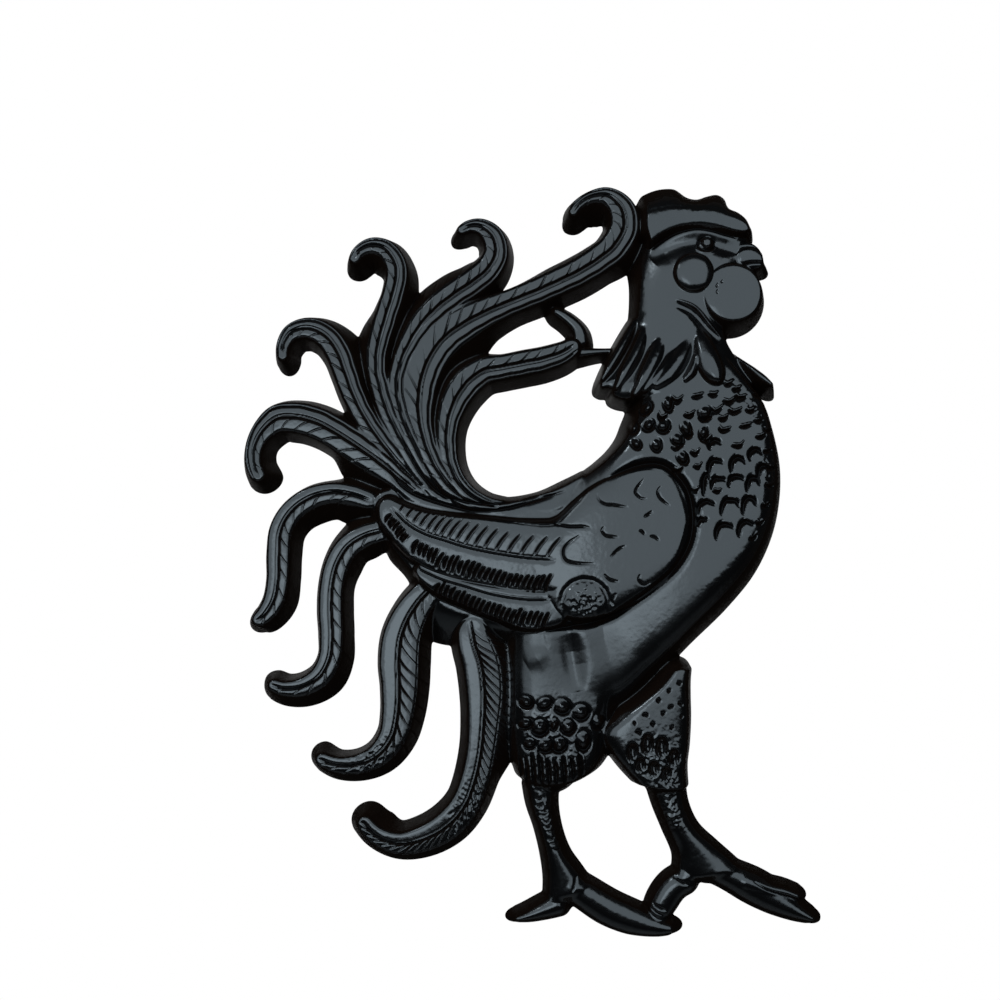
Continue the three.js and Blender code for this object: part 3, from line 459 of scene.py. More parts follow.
NECK_ARCHES = [
    (86.9, 34.4, 6, 5), (87.3, 25, 7, 8), (98.3, 26, 7, 8), (107, 30, 6.4, 6), (111.2, 22.4, 5, 7),
    (82.6, 17.4, 3.4, 11), (88.6, 16, 7, 6), (97.4, 16.8, 7.6, 6), (106, 16.4, 6, 8), (82.6, 4, 8.8, 7),
    (94.5, 5.4, 8.6, 8.6), (104, 6, 6.8, 9), (91.8, -7, 8.8, 8.4), (102.4, -6, 8, 8),
    (80.6, -4.4, 4.4, 4),
]
THIGH_BEADS = [
    (-6.8, -95.6, 2.4), (2, -96.4, 2.8), (10.4, -97, 3.2), (19.6, -99.6, 3.2), (-7, -106.4, 2.2),
    (-0.6, -107, 2.8), (6.6, -106.6, 2.4), (14.4, -108.2, 3.4), (-6, -116, 2.8), (2.6, -116.2, 3),
    (9.6, -115.6, 3), (21, -114, 4.2), (29.2, -104.4, 2.4),
]
FRINGE = [-9.4, -6.6, -3.3, 0.6, 4.4, 7.9, 12, 16.4, 20.4]
THIGH_DOTS = [
    (58.2, -94.6), (68.6, -86.4), (60.8, -101.6), (65.4, -108.2), (69.4, -96.4), (52, -102),
    (63.8, -90.4), (55.4, -106.4), (46.4, -106), (70.2, -103), (64.8, -98), (48.6, -110.6),
]
THIGH_LOOPS = [
    (46, -116, 5, 9), (53.4, -111.6, 5.4, 10), (60.4, -113, 5.6, 10), (66.6, -119, 5, 8),
    (50, -123, 4.4, 7), (56.6, -125, 4.4, 7), (62.8, -127.6, 4.4, 7),
]
CREASES = [
    ([(18.3, -181), (17, -185), (16.1, -189)], 11),
    ([(55.3, -194.4), (59.4, -197), (62.9, -198.4)], 11),
    ([(54.6, -196.8), (58.4, -199.6), (62, -201)], 11),
    ([(66.5, -181.8), (70.5, -184.6), (73.6, -186)], 12),
    ([(105.6, -183.8), (113, -188), (122, -191), (132, -194.6)], 11),
]
MOUTH = [(99.5, 121), (104, 122.4), (109, 122.6), (113.6, 121.6)]
BEAK_RIDGE = [(96.6, 126.6), (100.6, 129.8), (106, 130.4), (111.8, 127.4)]
COMB_GROOVE = [
    (55.5, 131), (60.5, 134.6), (65.9, 137.2), (72, 139), (78.3, 139.7), (84, 139), (89, 137.8),
    (98.1, 135.6),
]
THROAT = [(67.3, 104.4), (76.7, 100.6), (84.7, 92), (91.2, 85.4)]

BELLY_HOLLOW = [(13, -57), (15.6, -72), (19, -90)]
BELLY_SWELL = [(-7, -76), (4, -70)]
SHANK_WRINKLES = 10
CHEEK_LEVEL = 20
WATTLE_NICKS = [[(88.2, 112.6), (87.2, 110.2)], [(87.8, 109.2), (87.6, 107)], [(90.6, 114), (89.6, 112.4)]]

# The rings round the eye: [radius, width, depth, where they start and end, taper of the ends]
EYE_PLACE = (82.6, 132.4)
EYE_RINGS = [[3.7, 0.7, 1, 0, 6.28, 0], [5.4, 0.6, -0.6, 3.5, 5.95, 0.2]]

# What the foundry sand leaves: a fine unevenness, stronger in some places, as [x, z, radius, amount]
UNEVEN_EVERYWHERE = 0.006
UNEVEN = [
    (22, -46, 9, 0.3), (64, -139, 8, 0.26), (68, -150, 8, 0.22), (114, 20, 8, 0.22), (108, 50, 8, 0.2),
    (75, 154, 14, 0.1), (56, 153, 9, 0.1), (8, -110, 16, 0.12), (8, -128, 16, 0.14), (58, -124, 13, 0.2),
    (-30, -150, 14, 0.16), (-84, -124, 12, 0.14), (3, -150, 7, 0.2),
]

# Where the gloss is duller: the belly, the back behind the wing, the cheek and the comb
SATIN = [
    (2, -76, 18, 0.8), (30, -76, 18, 0.7), (60, -52, 20, 0.35), (22, 12, 18, 0.9), (0, 2, 12, 0.7),
    (60, 128, 14, 0.5), (70, 150, 26, 0.5),
]


# Curves

def curve(rows, shares):
    """Points at shares of the way along a smooth centripetal curve through rows."""
    rows = np.asarray(rows, float)
    last = len(rows) - 1
    place = np.asarray(shares) * last
    start = np.minimum(place.astype(int), last - 1)
    weight = (place - start)[:, None]
    before = np.where(start[:, None] > 0, rows[np.maximum(start - 1, 0)], 2 * rows[0] - rows[1])
    after = np.where(start[:, None] + 2 <= last, rows[np.minimum(start + 2, last)], 2 * rows[-1] - rows[-2])
    a, b = rows[start], rows[start + 1]
    step = [((q - p) ** 2).sum(1)[:, None] ** 0.25 for p, q in ((before, a), (a, b), (b, after))]
    middle = np.where(step[1] < 1e-4, 1.0, step[1])
    first = np.where(step[0] < 1e-4, middle, step[0])
    third = np.where(step[2] < 1e-4, middle, step[2])
    out = ((a - before) / first - (b - before) / (first + middle) + (b - a) / middle) * middle
    into = ((b - a) / middle - (after - a) / (middle + third) + (after - b) / third) * middle
    return (a + out * weight + (-3 * a + 3 * b - 2 * out - into) * weight**2
            + (2 * a - 2 * b + out + into) * weight**3)


STATIONS_PER_ROW = 12


def shares_for(count):
    return np.linspace(0, 1, (count - 1) * STATIONS_PER_ROW + 1)


def strip_between(form, draft=DRAFT):
    """A strip between two edges of its face."""
    shares = shares_for(len(form["left"]))
    sides = [
        curve([[row[0], row[1], row[2] if len(row) > 2 else draft] for row in form[side]], shares)
        for side in ("left", "right")
    ]
    sunk = form.get("sunk", [0, 0])
    drop = curve([[fall, 0, i] for i, fall in enumerate(sunk)], shares)[:, 0]
    return {
        "left": sides[0][:, :2], "right": sides[1][:, :2], "left_draft": sides[0][:, 2],
        "right_draft": sides[1][:, 2], "drop": np.maximum(drop, 0),
    }


def strip_along(rows, draft=DRAFT, sunk=None):
    """A strip along a shaft."""
    shares = shares_for(len(rows))
    shaft = curve([row[:3] for row in rows], shares)
    drafts = [[*(row[3:5] if len(row) > 4 else (draft, draft)), i] for i, row in enumerate(rows)]
    drafts = curve(drafts, shares)
    way = np.gradient(shaft[:, :2], axis=0)
    way /= np.linalg.norm(way, axis=1)[:, None]
    across = np.stack([-way[:, 1], way[:, 0]], 1) * shaft[:, 2:3]
    drop = curve([[fall, 0, i] for i, fall in enumerate(sunk or [0] * len(rows))], shares)[:, 0]
    return {
        "left": shaft[:, :2] + across, "right": shaft[:, :2] - across, "left_draft": drafts[:, 0],
        "right_draft": drafts[:, 1], "drop": drop,
    }


# Laying a strip out on the lattice

xs = LEFT + PITCH * np.arange(COLUMNS)
zs = FOOT + PITCH * np.arange(ROWS)


def window(low, high):
    """The lattice's columns and rows that hold a box."""
    i0 = max(int((low[0] - LEFT) / PITCH), 0)
    i1 = min(int((high[0] - LEFT) / PITCH) + 2, COLUMNS)
    j0 = max(int((low[1] - FOOT) / PITCH), 0)
    j1 = min(int((high[1] - FOOT) / PITCH) + 2, ROWS)
    return slice(i0, i1), slice(j0, j1)


def cross(u, v):
    return u[0] * v[1] - u[1] * v[0]


def lay_out(strip, beyond=1.35, past=END_REACH + 2):
    """Each lattice point round a strip: its place along and across, and how far past an end it is."""
    left, right = strip["left"], strip["right"]
    span = right - left
    width = np.linalg.norm(span, axis=1)
    unit = span / width[:, None]
    outer_left = left - unit * (strip["left_draft"] * beyond)[:, None]
    outer_right = right + unit * (strip["right_draft"] * beyond)[:, None]
    reach = np.concatenate([outer_left, outer_right])
    box = window(reach.min(0) - past, reach.max(0) + past)
    x, z = np.meshgrid(xs[box[0]], zs[box[1]], indexing="ij")
    station, share, excess, best = (np.full(x.shape, value) for value in (0.0, 0.5, 99.0, 1e9))
    i_first, j_first = box[0].start, box[1].start

    def settle(corners, solve):
        part = window(corners.min(0) - PITCH, corners.max(0) + PITCH)
        local = (slice(max(part[0].start - i_first, 0), part[0].stop - i_first),
                 slice(max(part[1].start - j_first, 0), part[1].stop - j_first))
        place, across, over, valid = solve(x[local], z[local])
        wide = np.interp(place, np.arange(len(width)), width)
        away = np.maximum(np.maximum(-across, across - 1) * wide, 0) + over
        better = valid & (away < best[local])
        for target, value in ((station, place), (share, across), (excess, over), (best, away)):
            target[local] = np.where(better, value, target[local])

    middle = (left + right) / 2
    for k in range(len(left) - 1):
        sense = np.sign(cross(unit[k], middle[k + 1] - middle[k])) or 1.0

        def between(px, pz, k=k, sense=sense):
            ahead = sense * cross(unit[k], (px - left[k, 0], pz - left[k, 1]))
            behind = sense * cross(unit[k + 1], (px - left[k + 1, 0], pz - left[k + 1, 1]))
            gap = np.where(np.abs(ahead - behind) < 1e-9, 1e-9, ahead - behind)
            part = np.clip(ahead / gap, 0, 1)
            lx = left[k, 0] + (left[k + 1, 0] - left[k, 0]) * part
            lz = left[k, 1] + (left[k + 1, 1] - left[k, 1]) * part
            rx = right[k, 0] + (right[k + 1, 0] - right[k, 0]) * part
            rz = right[k, 1] + (right[k + 1, 1] - right[k, 1]) * part
            across = ((px - lx) * (rx - lx) + (pz - lz) * (rz - lz)) / ((rx - lx) ** 2 + (rz - lz) ** 2)
            return k + part, across, np.zeros_like(px), (ahead >= -1e-9) & (behind < 1e-9)

        settle(np.array([outer_left[k], outer_right[k], outer_left[k + 1], outer_right[k + 1]]), between)

    for k, towards in ((0, 1), (len(left) - 1, -1)):
        way = middle[k] - middle[k + towards]
        way /= np.linalg.norm(way)

        def past_end(px, pz, k=k, way=way):
            sense = np.sign(cross(unit[k], way)) or 1.0
            over = sense * cross(unit[k], (px - left[k, 0], pz - left[k, 1]))
            across = ((px - left[k, 0]) * unit[k, 0] + (pz - left[k, 1]) * unit[k, 1]) / width[k]
            return np.full_like(px, float(k)), across, np.maximum(over, 0), (over >= 0) & (over < past)

        corners = np.array([outer_left[k], outer_right[k]])
        settle(np.concatenate([corners, corners + way * past]), past_end)

    steps = np.linalg.norm(np.gradient(middle, axis=0), axis=1)
    walked = np.cumsum(steps) - steps[0]

    def at(values):
        return np.interp(station, np.arange(len(values)), values)

    return {
        "box": box, "share": share, "excess": excess, "found": best < 1e8, "width": at(width),
        "left_draft": at(strip["left_draft"]), "right_draft": at(strip["right_draft"]),
        "drop": at(strip["drop"]), "along": at(walked), "length": walked[-1],
    }


def wall(away, draft, bulge=WALL_BULGE):
    """What a side wall has left of the face's height, so far away from the face."""
    return 1 - np.minimum(away / draft, WALL_END) ** bulge


def raised(laid, depth, rise, power, bulge=WALL_BULGE, turn=4):
    """The height of a strip's face and side walls over the wall plane. Its ends are rounded off."""
    half = laid["width"] / 2
    to_end = np.minimum(laid["along"], laid["length"] - laid["along"])
    turn = np.clip(turn, 0.5, 0.9 * half)
    aside = (laid["share"] - 0.5) * laid["width"]
    draft = np.where(aside < 0, laid["left_draft"], laid["right_draft"])
    onward = half * np.clip(1 - to_end / turn, 0, 1) + laid["excess"] * draft / END_REACH
    outward = np.hypot(aside, onward)
    face = depth - laid["drop"] + rise * (1 - np.minimum(outward / half, 1) ** power)
    away = np.maximum(outward - half, 0)
    return np.where(laid["found"] & (away < draft * WALL_END), face * wall(away, draft, bulge), OUTSIDE)


# The casting's front

front = np.full((COLUMNS, ROWS), OUTSIDE)
owner = np.full((COLUMNS, ROWS), -1)
hollow = np.zeros((COLUMNS, ROWS))
carving = np.zeros((COLUMNS, ROWS))
REGIONS = ["head", "neck", "breast", "wing", "left_leg", "right_leg", *FEATHERS]
NODE_OF = {"neck": "body", "breast": "body", "wing": "body"}


def smooth_top(a, b, k=FILLET):
    """The higher of two heights, with a fillet where they meet."""
    return np.maximum(a, b) + k / 4 * np.clip(1 - np.abs(a - b) / k, 0, 1) ** 2 * (np.minimum(a, b) > 0)


def add_form(region, box, height, fillet=FILLET):
    """Raises the relief to a form, which belongs to a region where it stands out."""
    here = front[box]
    owner[box] = np.where((height > here) & (height > OUTSIDE), REGIONS.index(region), owner[box])
    front[box] = smooth_top(here, height, fillet)


def hollow_behind(strip, depth, rise):
    """Takes the metal out behind a strip, less its walls."""
    width = np.linalg.norm(strip["right"] - strip["left"], axis=1)
    wide = width / 2 >= LEAST_HOLLOW
    if wide.sum() < 4:
        return
    inset = (np.minimum(WALL, width / 2 - 0.6) / width)[:, None]
    inner = {
        "left": strip["left"] + (strip["right"] - strip["left"]) * inset,
        "right": strip["right"] - (strip["right"] - strip["left"]) * inset,
        "left_draft": np.minimum(strip["left_draft"], DRAFT),
        "right_draft": np.minimum(strip["right_draft"], DRAFT), "drop": strip["drop"],
    }
    inner = {key: value[wide] for key, value in inner.items()}
    middle = (inner["left"] + inner["right"]) / 2
    walked = np.concatenate([[0], np.cumsum(np.linalg.norm(np.diff(middle, axis=0), axis=1))])
    kept = (walked > END_SOLID) & (walked < walked[-1] - END_SOLID)
    if kept.sum() < 4:
        return
    inner = {key: value[kept] for key, value in inner.items()}
    laid = lay_out(inner, past=3)
    laid["excess"] = laid["excess"] * END_REACH / 2
    height = raised(laid, depth - WALL, rise, FLAT_DOME, 1, 1)
    hollow[laid["box"]] = np.maximum(hollow[laid["box"]], height)


def add_strip(region, strip, depth, rise, power=DOME, bulge=WALL_BULGE, hollowed=True, turn=4, fillet=FILLET):
    """Adds a strip to the relief: its edges lie at depth less rise, and its middle at depth."""
    depth -= rise
    laid = lay_out(strip)
    add_form(region, laid["box"], raised(laid, depth, rise, power, bulge, turn), fillet)
    if hollowed:
        hollow_behind(strip, depth, rise)
    return laid


def offsets(x, z, reach):
    """The window round a point, and how far right and up of it the window's lattice points lie."""
    box = window((x - reach, z - reach), (x + reach, z + reach))
    return box, *np.meshgrid(xs[box[0]] - x, zs[box[1]] - z, indexing="ij")


def add_round(region, x, z, radius, depth, crown, draft):
    box, right, up = offsets(x, z, radius + draft + 4)
    away = np.hypot(right, up)
    height = (depth - crown * np.minimum(away / radius, 1) ** 4) * wall(np.maximum(away - radius, 0), draft)
    add_form(region, box, np.where(away < radius + WALL_END * draft, height, OUTSIDE))


def softened(field, amount=SOFTENING):
    """A field rounded over as thick enamel rounds the metal."""
    reach = int(3 * amount / PITCH + 1)
    weights = np.exp(-0.5 * (np.arange(-reach, reach + 1) * PITCH / amount) ** 2)
    weights /= weights.sum()
    for axis in (0, 1):
        padded = np.pad(field, [(reach, reach) if a == axis else (0, 0) for a in (0, 1)], mode="edge")
        size = field.shape[axis]
        field = sum(w * np.take(padded, range(k, k + size), axis=axis) for k, w in enumerate(weights))
    return field


# Lines on the faces

EYE_POINT = np.array([2.5, -44.5])  # where the photograph looks at the relief squarely
EYE_DISTANCE = 600
OUTLINE_LEVEL = 16


def seen(points, level):
    """Where points drawn as seen at the outline's level lie on a face at another level."""
    share = (EYE_DISTANCE - level) / (EYE_DISTANCE - OUTLINE_LEVEL)
    return EYE_POINT + (np.asarray(points, float) - EYE_POINT) * share


def smooth_line(points):
    """A smooth line through points, as a row of closer points."""
    points = np.asarray(points, float)
    return curve(points, np.linspace(0, 1, (len(points) - 1) * 5 + 1)) if len(points) > 2 else points


def round_line(points, reach, closed=False):
    """Round a line: the window, each lattice point's distance from it, and the share walked along it."""
    points = smooth_line(points)
    if closed:
        points = np.concatenate([points, points[:1]])
    box = window(points.min(0) - reach, points.max(0) + reach)
    x, z = np.meshgrid(xs[box[0]], zs[box[1]], indexing="ij")
    best, share = np.full(x.shape, 1e9), np.zeros(x.shape)
    steps = np.linalg.norm(np.diff(points, axis=0), axis=1)
    walked = np.concatenate([[0], np.cumsum(steps)])
    for k, step in enumerate(steps):
        if step < 1e-6:
            continue
        ends = points[k:k + 2]
        near = window(ends.min(0) - reach, ends.max(0) + reach)
        part = tuple(slice(n.start - b.start, n.stop - b.start) for n, b in zip(near, box))
        way = (ends[1] - ends[0]) / step
        dx, dz = x[part] - ends[0, 0], z[part] - ends[0, 1]
        onward = np.clip(dx * way[0] + dz * way[1], 0, step)
        distance = np.hypot(dx - onward * way[0], dz - onward * way[1])
        nearer = distance < best[part]
        best[part] = np.where(nearer, distance, best[part])
        share[part] = np.where(nearer, (walked[k] + onward) / walked[-1], share[part])
    return box, best, share


def change(box, amount, narrow=False):
    """Raises or lowers the faces, but not the feet of the walls. Narrow hollows are marked, and get the
    almost glossless enamel copy, which paints shade into them.
    """
    front[box] += amount * np.clip((front[box] - 2.5) / 2, 0, 1)
    if narrow:
        carving[box] = np.minimum(carving[box], amount)


def cut(points, level, width, depth, taper=0.25):
    """A groove of rounded section, or a ridge where its depth is below 0, which runs out at both ends."""
    box, away, share = round_line(seen(points, level), 3 * width + 0.5)
    ends = np.clip(np.minimum(share, 1 - share) / max(taper, 1e-6), 0, 1) ** 0.6
    power = 1.35 if depth > 0 and width < BROAD else 2
    amount = -depth * ends * np.exp(-((away / (width * (0.55 + 0.45 * ends))) ** power))
    change(box, amount, depth > 0 and width < BROAD)


def bead(x, z, radius, level, height, draw):
    """A small boss in a ring-shaped hollow, which is deepest below it."""
    x, z = seen((x, z), level)
    box, right, up = offsets(x, z, 2.4 * radius)
    turn, stretch = draw.uniform(-0.7, 0.7), draw.uniform(0.74, 1.2)
    away = np.hypot((right * math.cos(turn) + up * math.sin(turn)) / stretch,
                    (up * math.cos(turn) - right * math.sin(turn)) * stretch) / radius
    below = 0.65 - 0.45 * (up - 0.5 * right) / np.maximum(np.hypot(right, up), 0.1)
    ring = below * draw.uniform(1.2, 1.7) * np.exp(-(((away - 1.12) / 0.36) ** 2))
    change(box, height * np.exp(-((away / 0.6) ** 2)) - ring, True)


def rib(points, level, width=1.25, depth=0.8, height=0.85):
    """A thin rib between two fine grooves."""
    cut(points, level, width, depth, 0.06)
    cut(points, level, 0.42, -height, 0.06)


def patch(region, outline, level, rise, draft, rim, fillet):
    """A form with a free outline: its face rises from the rim by so much."""
    box, away, _ = round_line(outline, draft * WALL_END + 2, closed=True)
    x, z = np.meshgrid(xs[box[0]], zs[box[1]], indexing="ij")
    points = smooth_line(outline)
    inside = np.zeros(x.shape, bool)
    for a, b in zip(points, np.roll(points, -1, axis=0)):
        if a[1] != b[1]:
            inside ^= ((a[1] > z) != (b[1] > z)) & (x < (b[0] - a[0]) * (z - a[1]) / (b[1] - a[1]) + a[0])
    face = level(x, z) - rise * np.exp(-np.where(inside, away, 0) / rim)
    height = face * np.where(inside, 1, wall(away, draft))
    add_form(region, box, np.where(inside | (away < WALL_END * draft), height, OUTSIDE), fillet)


def skirt(x, z):
    """The height of the hackle under its locks."""
    share = np.clip((z - HACKLE_FROM) / (HACKLE_TO - HACKLE_FROM), 0, 1)
    return HACKLE_DEPTH - HACKLE_DROP - HACKLE_FALL * share


laid_feathers = {}
for name, rows in FEATHERS.items():
    tail = name.startswith("tail")
    sunk = [0] * (len(rows) - 2) + ([1.2, 4] if tail else [0, 1])
    laid_feathers[name] = add_strip(name, strip_along(rows, sunk=sunk), TAIL_DEPTH if tail else SICKLE_DEPTH,
                                    VANE_ROUND, VANE, 1.1, turn=9, fillet=1.5)
for rows in TIES:
    add_strip("tail_feather_2", strip_along(rows), TAIL_DEPTH - TIE_DROP + 1, 1, hollowed=False)
add_strip("breast", strip_between(SADDLE), SADDLE_DEPTH, 1, bulge=1.3, fillet=3)
add_strip("breast", strip_between(BREAST), BREAST_DEPTH, BREAST_ROUND, FLAT_TO_EDGE, bulge=1.5, fillet=3)
for i, layer in enumerate(WING_LAYERS):
    crown, power = (SHOULDER_CROWN, BROAD_DOME) if "sunk" in layer else (1, FLAT_DOME)
    top = WING_DEPTH + i * WING_STEP - 1 + crown
    add_strip("wing", strip_between(layer), top, crown, power, fillet=2.5, turn=8)
add_strip("head", strip_between(NECK), HEAD_DEPTH, HEAD_ROUND, bulge=1.3)
add_strip("head", strip_between(COMB), COMB_DEPTH, 1.2, BROAD_DOME, bulge=1.5, turn=2)
add_strip("head", strip_between(BEAK, TOE_DRAFT), BEAK_DEPTH, 2.5, hollowed=False, turn=3)
patch("head", seen(HACKLE, HACKLE_DEPTH), skirt, 2.4, 2.6, 2.6, fillet=4)
for rows in LOCKS:
    strip = strip_along([row[:3] for row in rows], 2.6, [row[3] for row in rows])
    add_strip("head", strip, HACKLE_DEPTH, 3, hollowed=False, fillet=1.4, turn=6)
for name, leg in LEGS.items():
    crown, turn, fillet = (LEFT_THIGH_ROUND, 8, 6) if name == "left_leg" else (RIGHT_THIGH_ROUND, 2, FILLET)
    thigh = strip_between(leg["thigh"])
    add_strip(name, thigh, THIGH_DEPTH, crown, BROAD_DOME, bulge=1.5, turn=turn, fillet=fillet)
    add_strip(name, strip_between(leg["shank"]), SHANK_DEPTH, LEG_ROUND, hollowed=False, fillet=3)
    for rows in leg["toes"]:
        add_strip(name, strip_along(rows, TOE_DRAFT), TOE_DEPTH, LEG_ROUND, hollowed=False, turn=8, fillet=3)
for rows in ROUNDS.values():
    add_round("head", *rows)

low, high = [[(corner[axis] / MM - ORIGIN[axis // 2]) for axis in (0, 2)] for corner in cad_box]
past_sides, past_ends = np.maximum(low[0] - xs, xs - high[0]), np.maximum(low[1] - zs, zs - high[1])
front[np.maximum.outer(past_sides, past_ends) > -EDGE_MARGIN] = OUTSIDE
front = softened(front)
broadly = softened(front, 2.4)
for x, z, wide, tall in BLENDED:
    away = np.meshgrid((xs - x) / wide, (zs - z) / tall, indexing="ij")
    share = np.exp(-((away[0] ** 2 + away[1] ** 2) ** 3))
    front += (broadly - front) * share


# The barbs, the wing's lines and the rest of what the pattern was carved with

def groove(away, width):
    """The rounded section of a groove or a rib, 1 deep."""
    return np.exp(-((away / width) ** 2))


def barbs(laid, pitch, strength, seed, smooth_root):
    """A feather's shaft between two lines, and the leaf-like barbs of its inner vane."""
    draw = np.random.default_rng(seed)
    shift, force = draw.uniform(-0.11, 0.11, MOST_BARBS), draw.uniform(0.55, 1.15, MOST_BARBS)
    wide = laid["width"]
    small = np.clip(wide / 11.5, 0.5, 1.15)
    across = (laid["share"] - SHAFT_SHARE) * wide
    outward = across - VANE_START * small
    wander = 0.06 * np.sin(laid["along"] * 0.6 + seed)
    shaft = 0.6 * groove(across, 0.36) + 1.35 * groove(outward + wander, 0.52)
    if smooth_root == TAIL_ROOT:
        shaft += 1.1 * groove(across + 0.27 * wide + 2 * wander, 0.42)
    vane_width = np.maximum(VANE_SHARE * wide - VANE_START * small, 0.8)
    part = np.clip(outward / vane_width, 0, 1)
    phase = (laid["along"] + 2.1 * np.maximum(outward, 0) ** 0.75) / pitch
    nearest = np.clip(np.round(phase), 0, MOST_BARBS - 1).astype(int)
    offset = (phase - nearest - shift[nearest]) * pitch
    stroke = force[nearest] * (1.15 - 0.7 * part) * groove(offset, 0.32 + 0.5 * (1 - part) ** 2)
    lobe = 0.28 * (1 - (phase - np.floor(phase)))
    hem = 0.35 * groove(outward - 0.93 * vane_width, 0.35)
    on_vane = np.clip(outward / 0.4, 0, 1)
    fade = np.clip((laid["along"] - 1) / 5, 0, 1) * np.clip((laid["length"] - laid["along"]) / 9, 0, 1)
    leafy = on_vane * np.clip((laid["length"] - laid["along"] - smooth_root) / 14, 0, 1)
    return -(shaft * small + leafy * strength * (stroke + hem - lobe) * np.clip(small, 0.6, 1)) * fade


for number, (name, laid) in enumerate(laid_feathers.items()):
    mine = (owner[laid["box"]] == REGIONS.index(name)) & (laid["excess"] <= 0)
    smooth_root = TAIL_ROOT if name.startswith("tail") else SICKLE_ROOT
    change(laid["box"], np.where(mine, barbs(laid, *BARBS[name], number, smooth_root), 0), True)


def height_on(line, x):
    return np.interp(x, [point[0] for point in line], [point[1] for point in line])


def shifted(points, right, up=0):
    return [(x + right, z + up) for x, z in points]


draw = np.random.default_rng(11)
rib(UPPER_LINE, WING_LEVEL)
cut(UPPER_BRANCH, WING_LEVEL, 0.6, 0.8)
rib(FIRST_SHAFT, WING_LEVEL)
rib(SECOND_SHAFT, WING_LEVEL)
for x in STROKES:
    foot = height_on(FIRST_SHAFT, x) + 1.5
    length = (height_on(UPPER_LINE, x + 2) - foot - 1.4) * np.interp(x, [-60, -20], [0.96, 0.62])
    lean = 0.75 * length
    points = shifted([(x, foot), (x + 0.42 * lean, foot + 0.5 * length), (x + lean, foot + length)], 0.8)
    cut(points, WING_LEVEL, 0.38, 1.05)
    cut(shifted(points, 0.95), WING_LEVEL, 0.32, -0.4)
for row in TEETH:
    line = curve(row["line"], np.linspace(0, 1, 200))
    walked = np.concatenate([[0], np.cumsum(np.linalg.norm(np.diff(line, axis=0), axis=1))])
    for place in np.arange(0, walked[-1], row["pitch"]):
        x, z = (np.interp(place, walked, line[:, k]) for k in (0, 1))
        x, z = x + draw.uniform(-0.3, 0.3), z + draw.uniform(-0.6, 0.6)
        half = row["length"] / 2 * draw.uniform(0.72, 1.06)
        lean = (row["lean"] + draw.uniform(-0.08, 0.08)) * half
        points = [(x - lean, z - half), (x - 0.35 * lean, z), (x + lean, z + half)]
        cut(points, WING_LEVEL, draw.uniform(0.6, 0.9), 1.9, 0.4)
        cut(shifted(points, 1.1), WING_LEVEL, 0.32, -0.5, 0.3)
cut(SHOULDER_GROOVE, WING_LEVEL, 1.5, 2.6, 0.1)
for points in SADDLE_LINES:
    cut(points, SADDLE_DEPTH, 0.8, 1.2, 0.15)
for points in SHOULDER_MARKS:
    cut(points, SHOULDER_LEVEL, 0.5, 0.95, 0.35)

radius = KNOB[2]
box, right, up = offsets(*seen(KNOB[:2], WING_LEVEL), 2 * radius)
away = np.hypot(right, up) / radius
change(box, 1.2 * np.exp(-((away / 0.8) ** 4)) - 0.9 * groove(away, 0.5) - 0.8 * groove(away - 1.2, 0.16))

draw = np.random.default_rng(3)
for x, z, radius in NECK_BEADS:
    bead(x, z, radius, BREAST_DEPTH, 1, draw)
for x, z, radius in THIGH_BEADS:
    x, z, radius = x + draw.uniform(-0.8, 0.8), z + draw.uniform(-1, 1), radius * draw.uniform(0.8, 1.25)
    bead(x, z, radius, THIGH_DEPTH, 1.5, draw)
for x, z, wide in NECK_PITS:
    rise, bend, wide = draw.uniform(-1.2, 1.4), draw.uniform(-2.4, -0.6), 1.25 * wide
    middle = (x - draw.uniform(-0.2, 0.3) * wide, z + bend)
    points = [(x - wide / 2, z - rise), middle, (x + wide / 2, z + 0.6 * rise)]
    cut(points, BREAST_DEPTH, draw.uniform(0.65, 1), 2, draw.uniform(0.3, 0.8))
    cut(shifted(points, 0.3, 1.3), BREAST_DEPTH, 0.5, -0.7, 0.3)
for x, z, wide, tall in NECK_ARCHES:
    low, tip = draw.uniform(0.25, 0.6), draw.uniform(-0.5, 0.5)
    points = [
        (x - wide / 2 + tip, z - tall), (x - 0.46 * wide, z - 0.4 * tall), (x - 0.24 * wide, z - 0.06 * tall),
        (x, z + tip), (x + 0.3 * wide, z - 0.12 * tall), (x + 0.5 * wide, z - low * tall),
    ]
    cut(points, BREAST_DEPTH, draw.uniform(1, 1.4), 2.1, 0.45)
    cut(shifted(points[2:5], 0, 1.5), BREAST_DEPTH, 0.5, -0.5, 0.3)
for x in FRINGE:
    foot = -138 if x < 15 else -134
    top = -120.5 + draw.uniform(-2, 2)
    cut([(x - 1.2, top), (x, -128), (x + 0.3, foot)], THIGH_DEPTH, draw.uniform(0.7, 1), 1.6, 0.3)
    cut([(x + 0.9, top - 1), (x + 1.8, -128), (x + 2, foot + 1)], THIGH_DEPTH, 0.45, -0.6, 0.3)
for x, z in THIGH_DOTS:
    lean, long = draw.uniform(-1.3, 0.5), draw.uniform(0.5, 1.7)
    points = [(x - long, z - lean), (x + 0.2, z + 0.5), (x + long, z + lean)]
    cut(points, THIGH_DEPTH, draw.uniform(0.45, 0.8), 1.2, 0.3)
for x, z, wide, tall in THIGH_LOOPS:
    for inset, depth in ((0, 1.7), (0.25, -0.8), (0.5, 1.4)):
        half, top, foot = wide * (0.5 - 0.5 * inset), z - inset * wide * 0.6, z - tall
        points = [
            (x - half + 1, foot), (x - half, z - 0.5 * tall), (x - 0.3 * half, top),
            (x + 0.5 * half, top - 0.4), (x + half, foot + 2),
        ]
        cut(points, THIGH_DEPTH, 0.55, depth, 0.2)
cut(BELLY_HOLLOW, THIGH_DEPTH, 5.6, 3.1, 0.4)
cut(BELLY_SWELL, THIGH_DEPTH, 5, -1.1, 0.5)
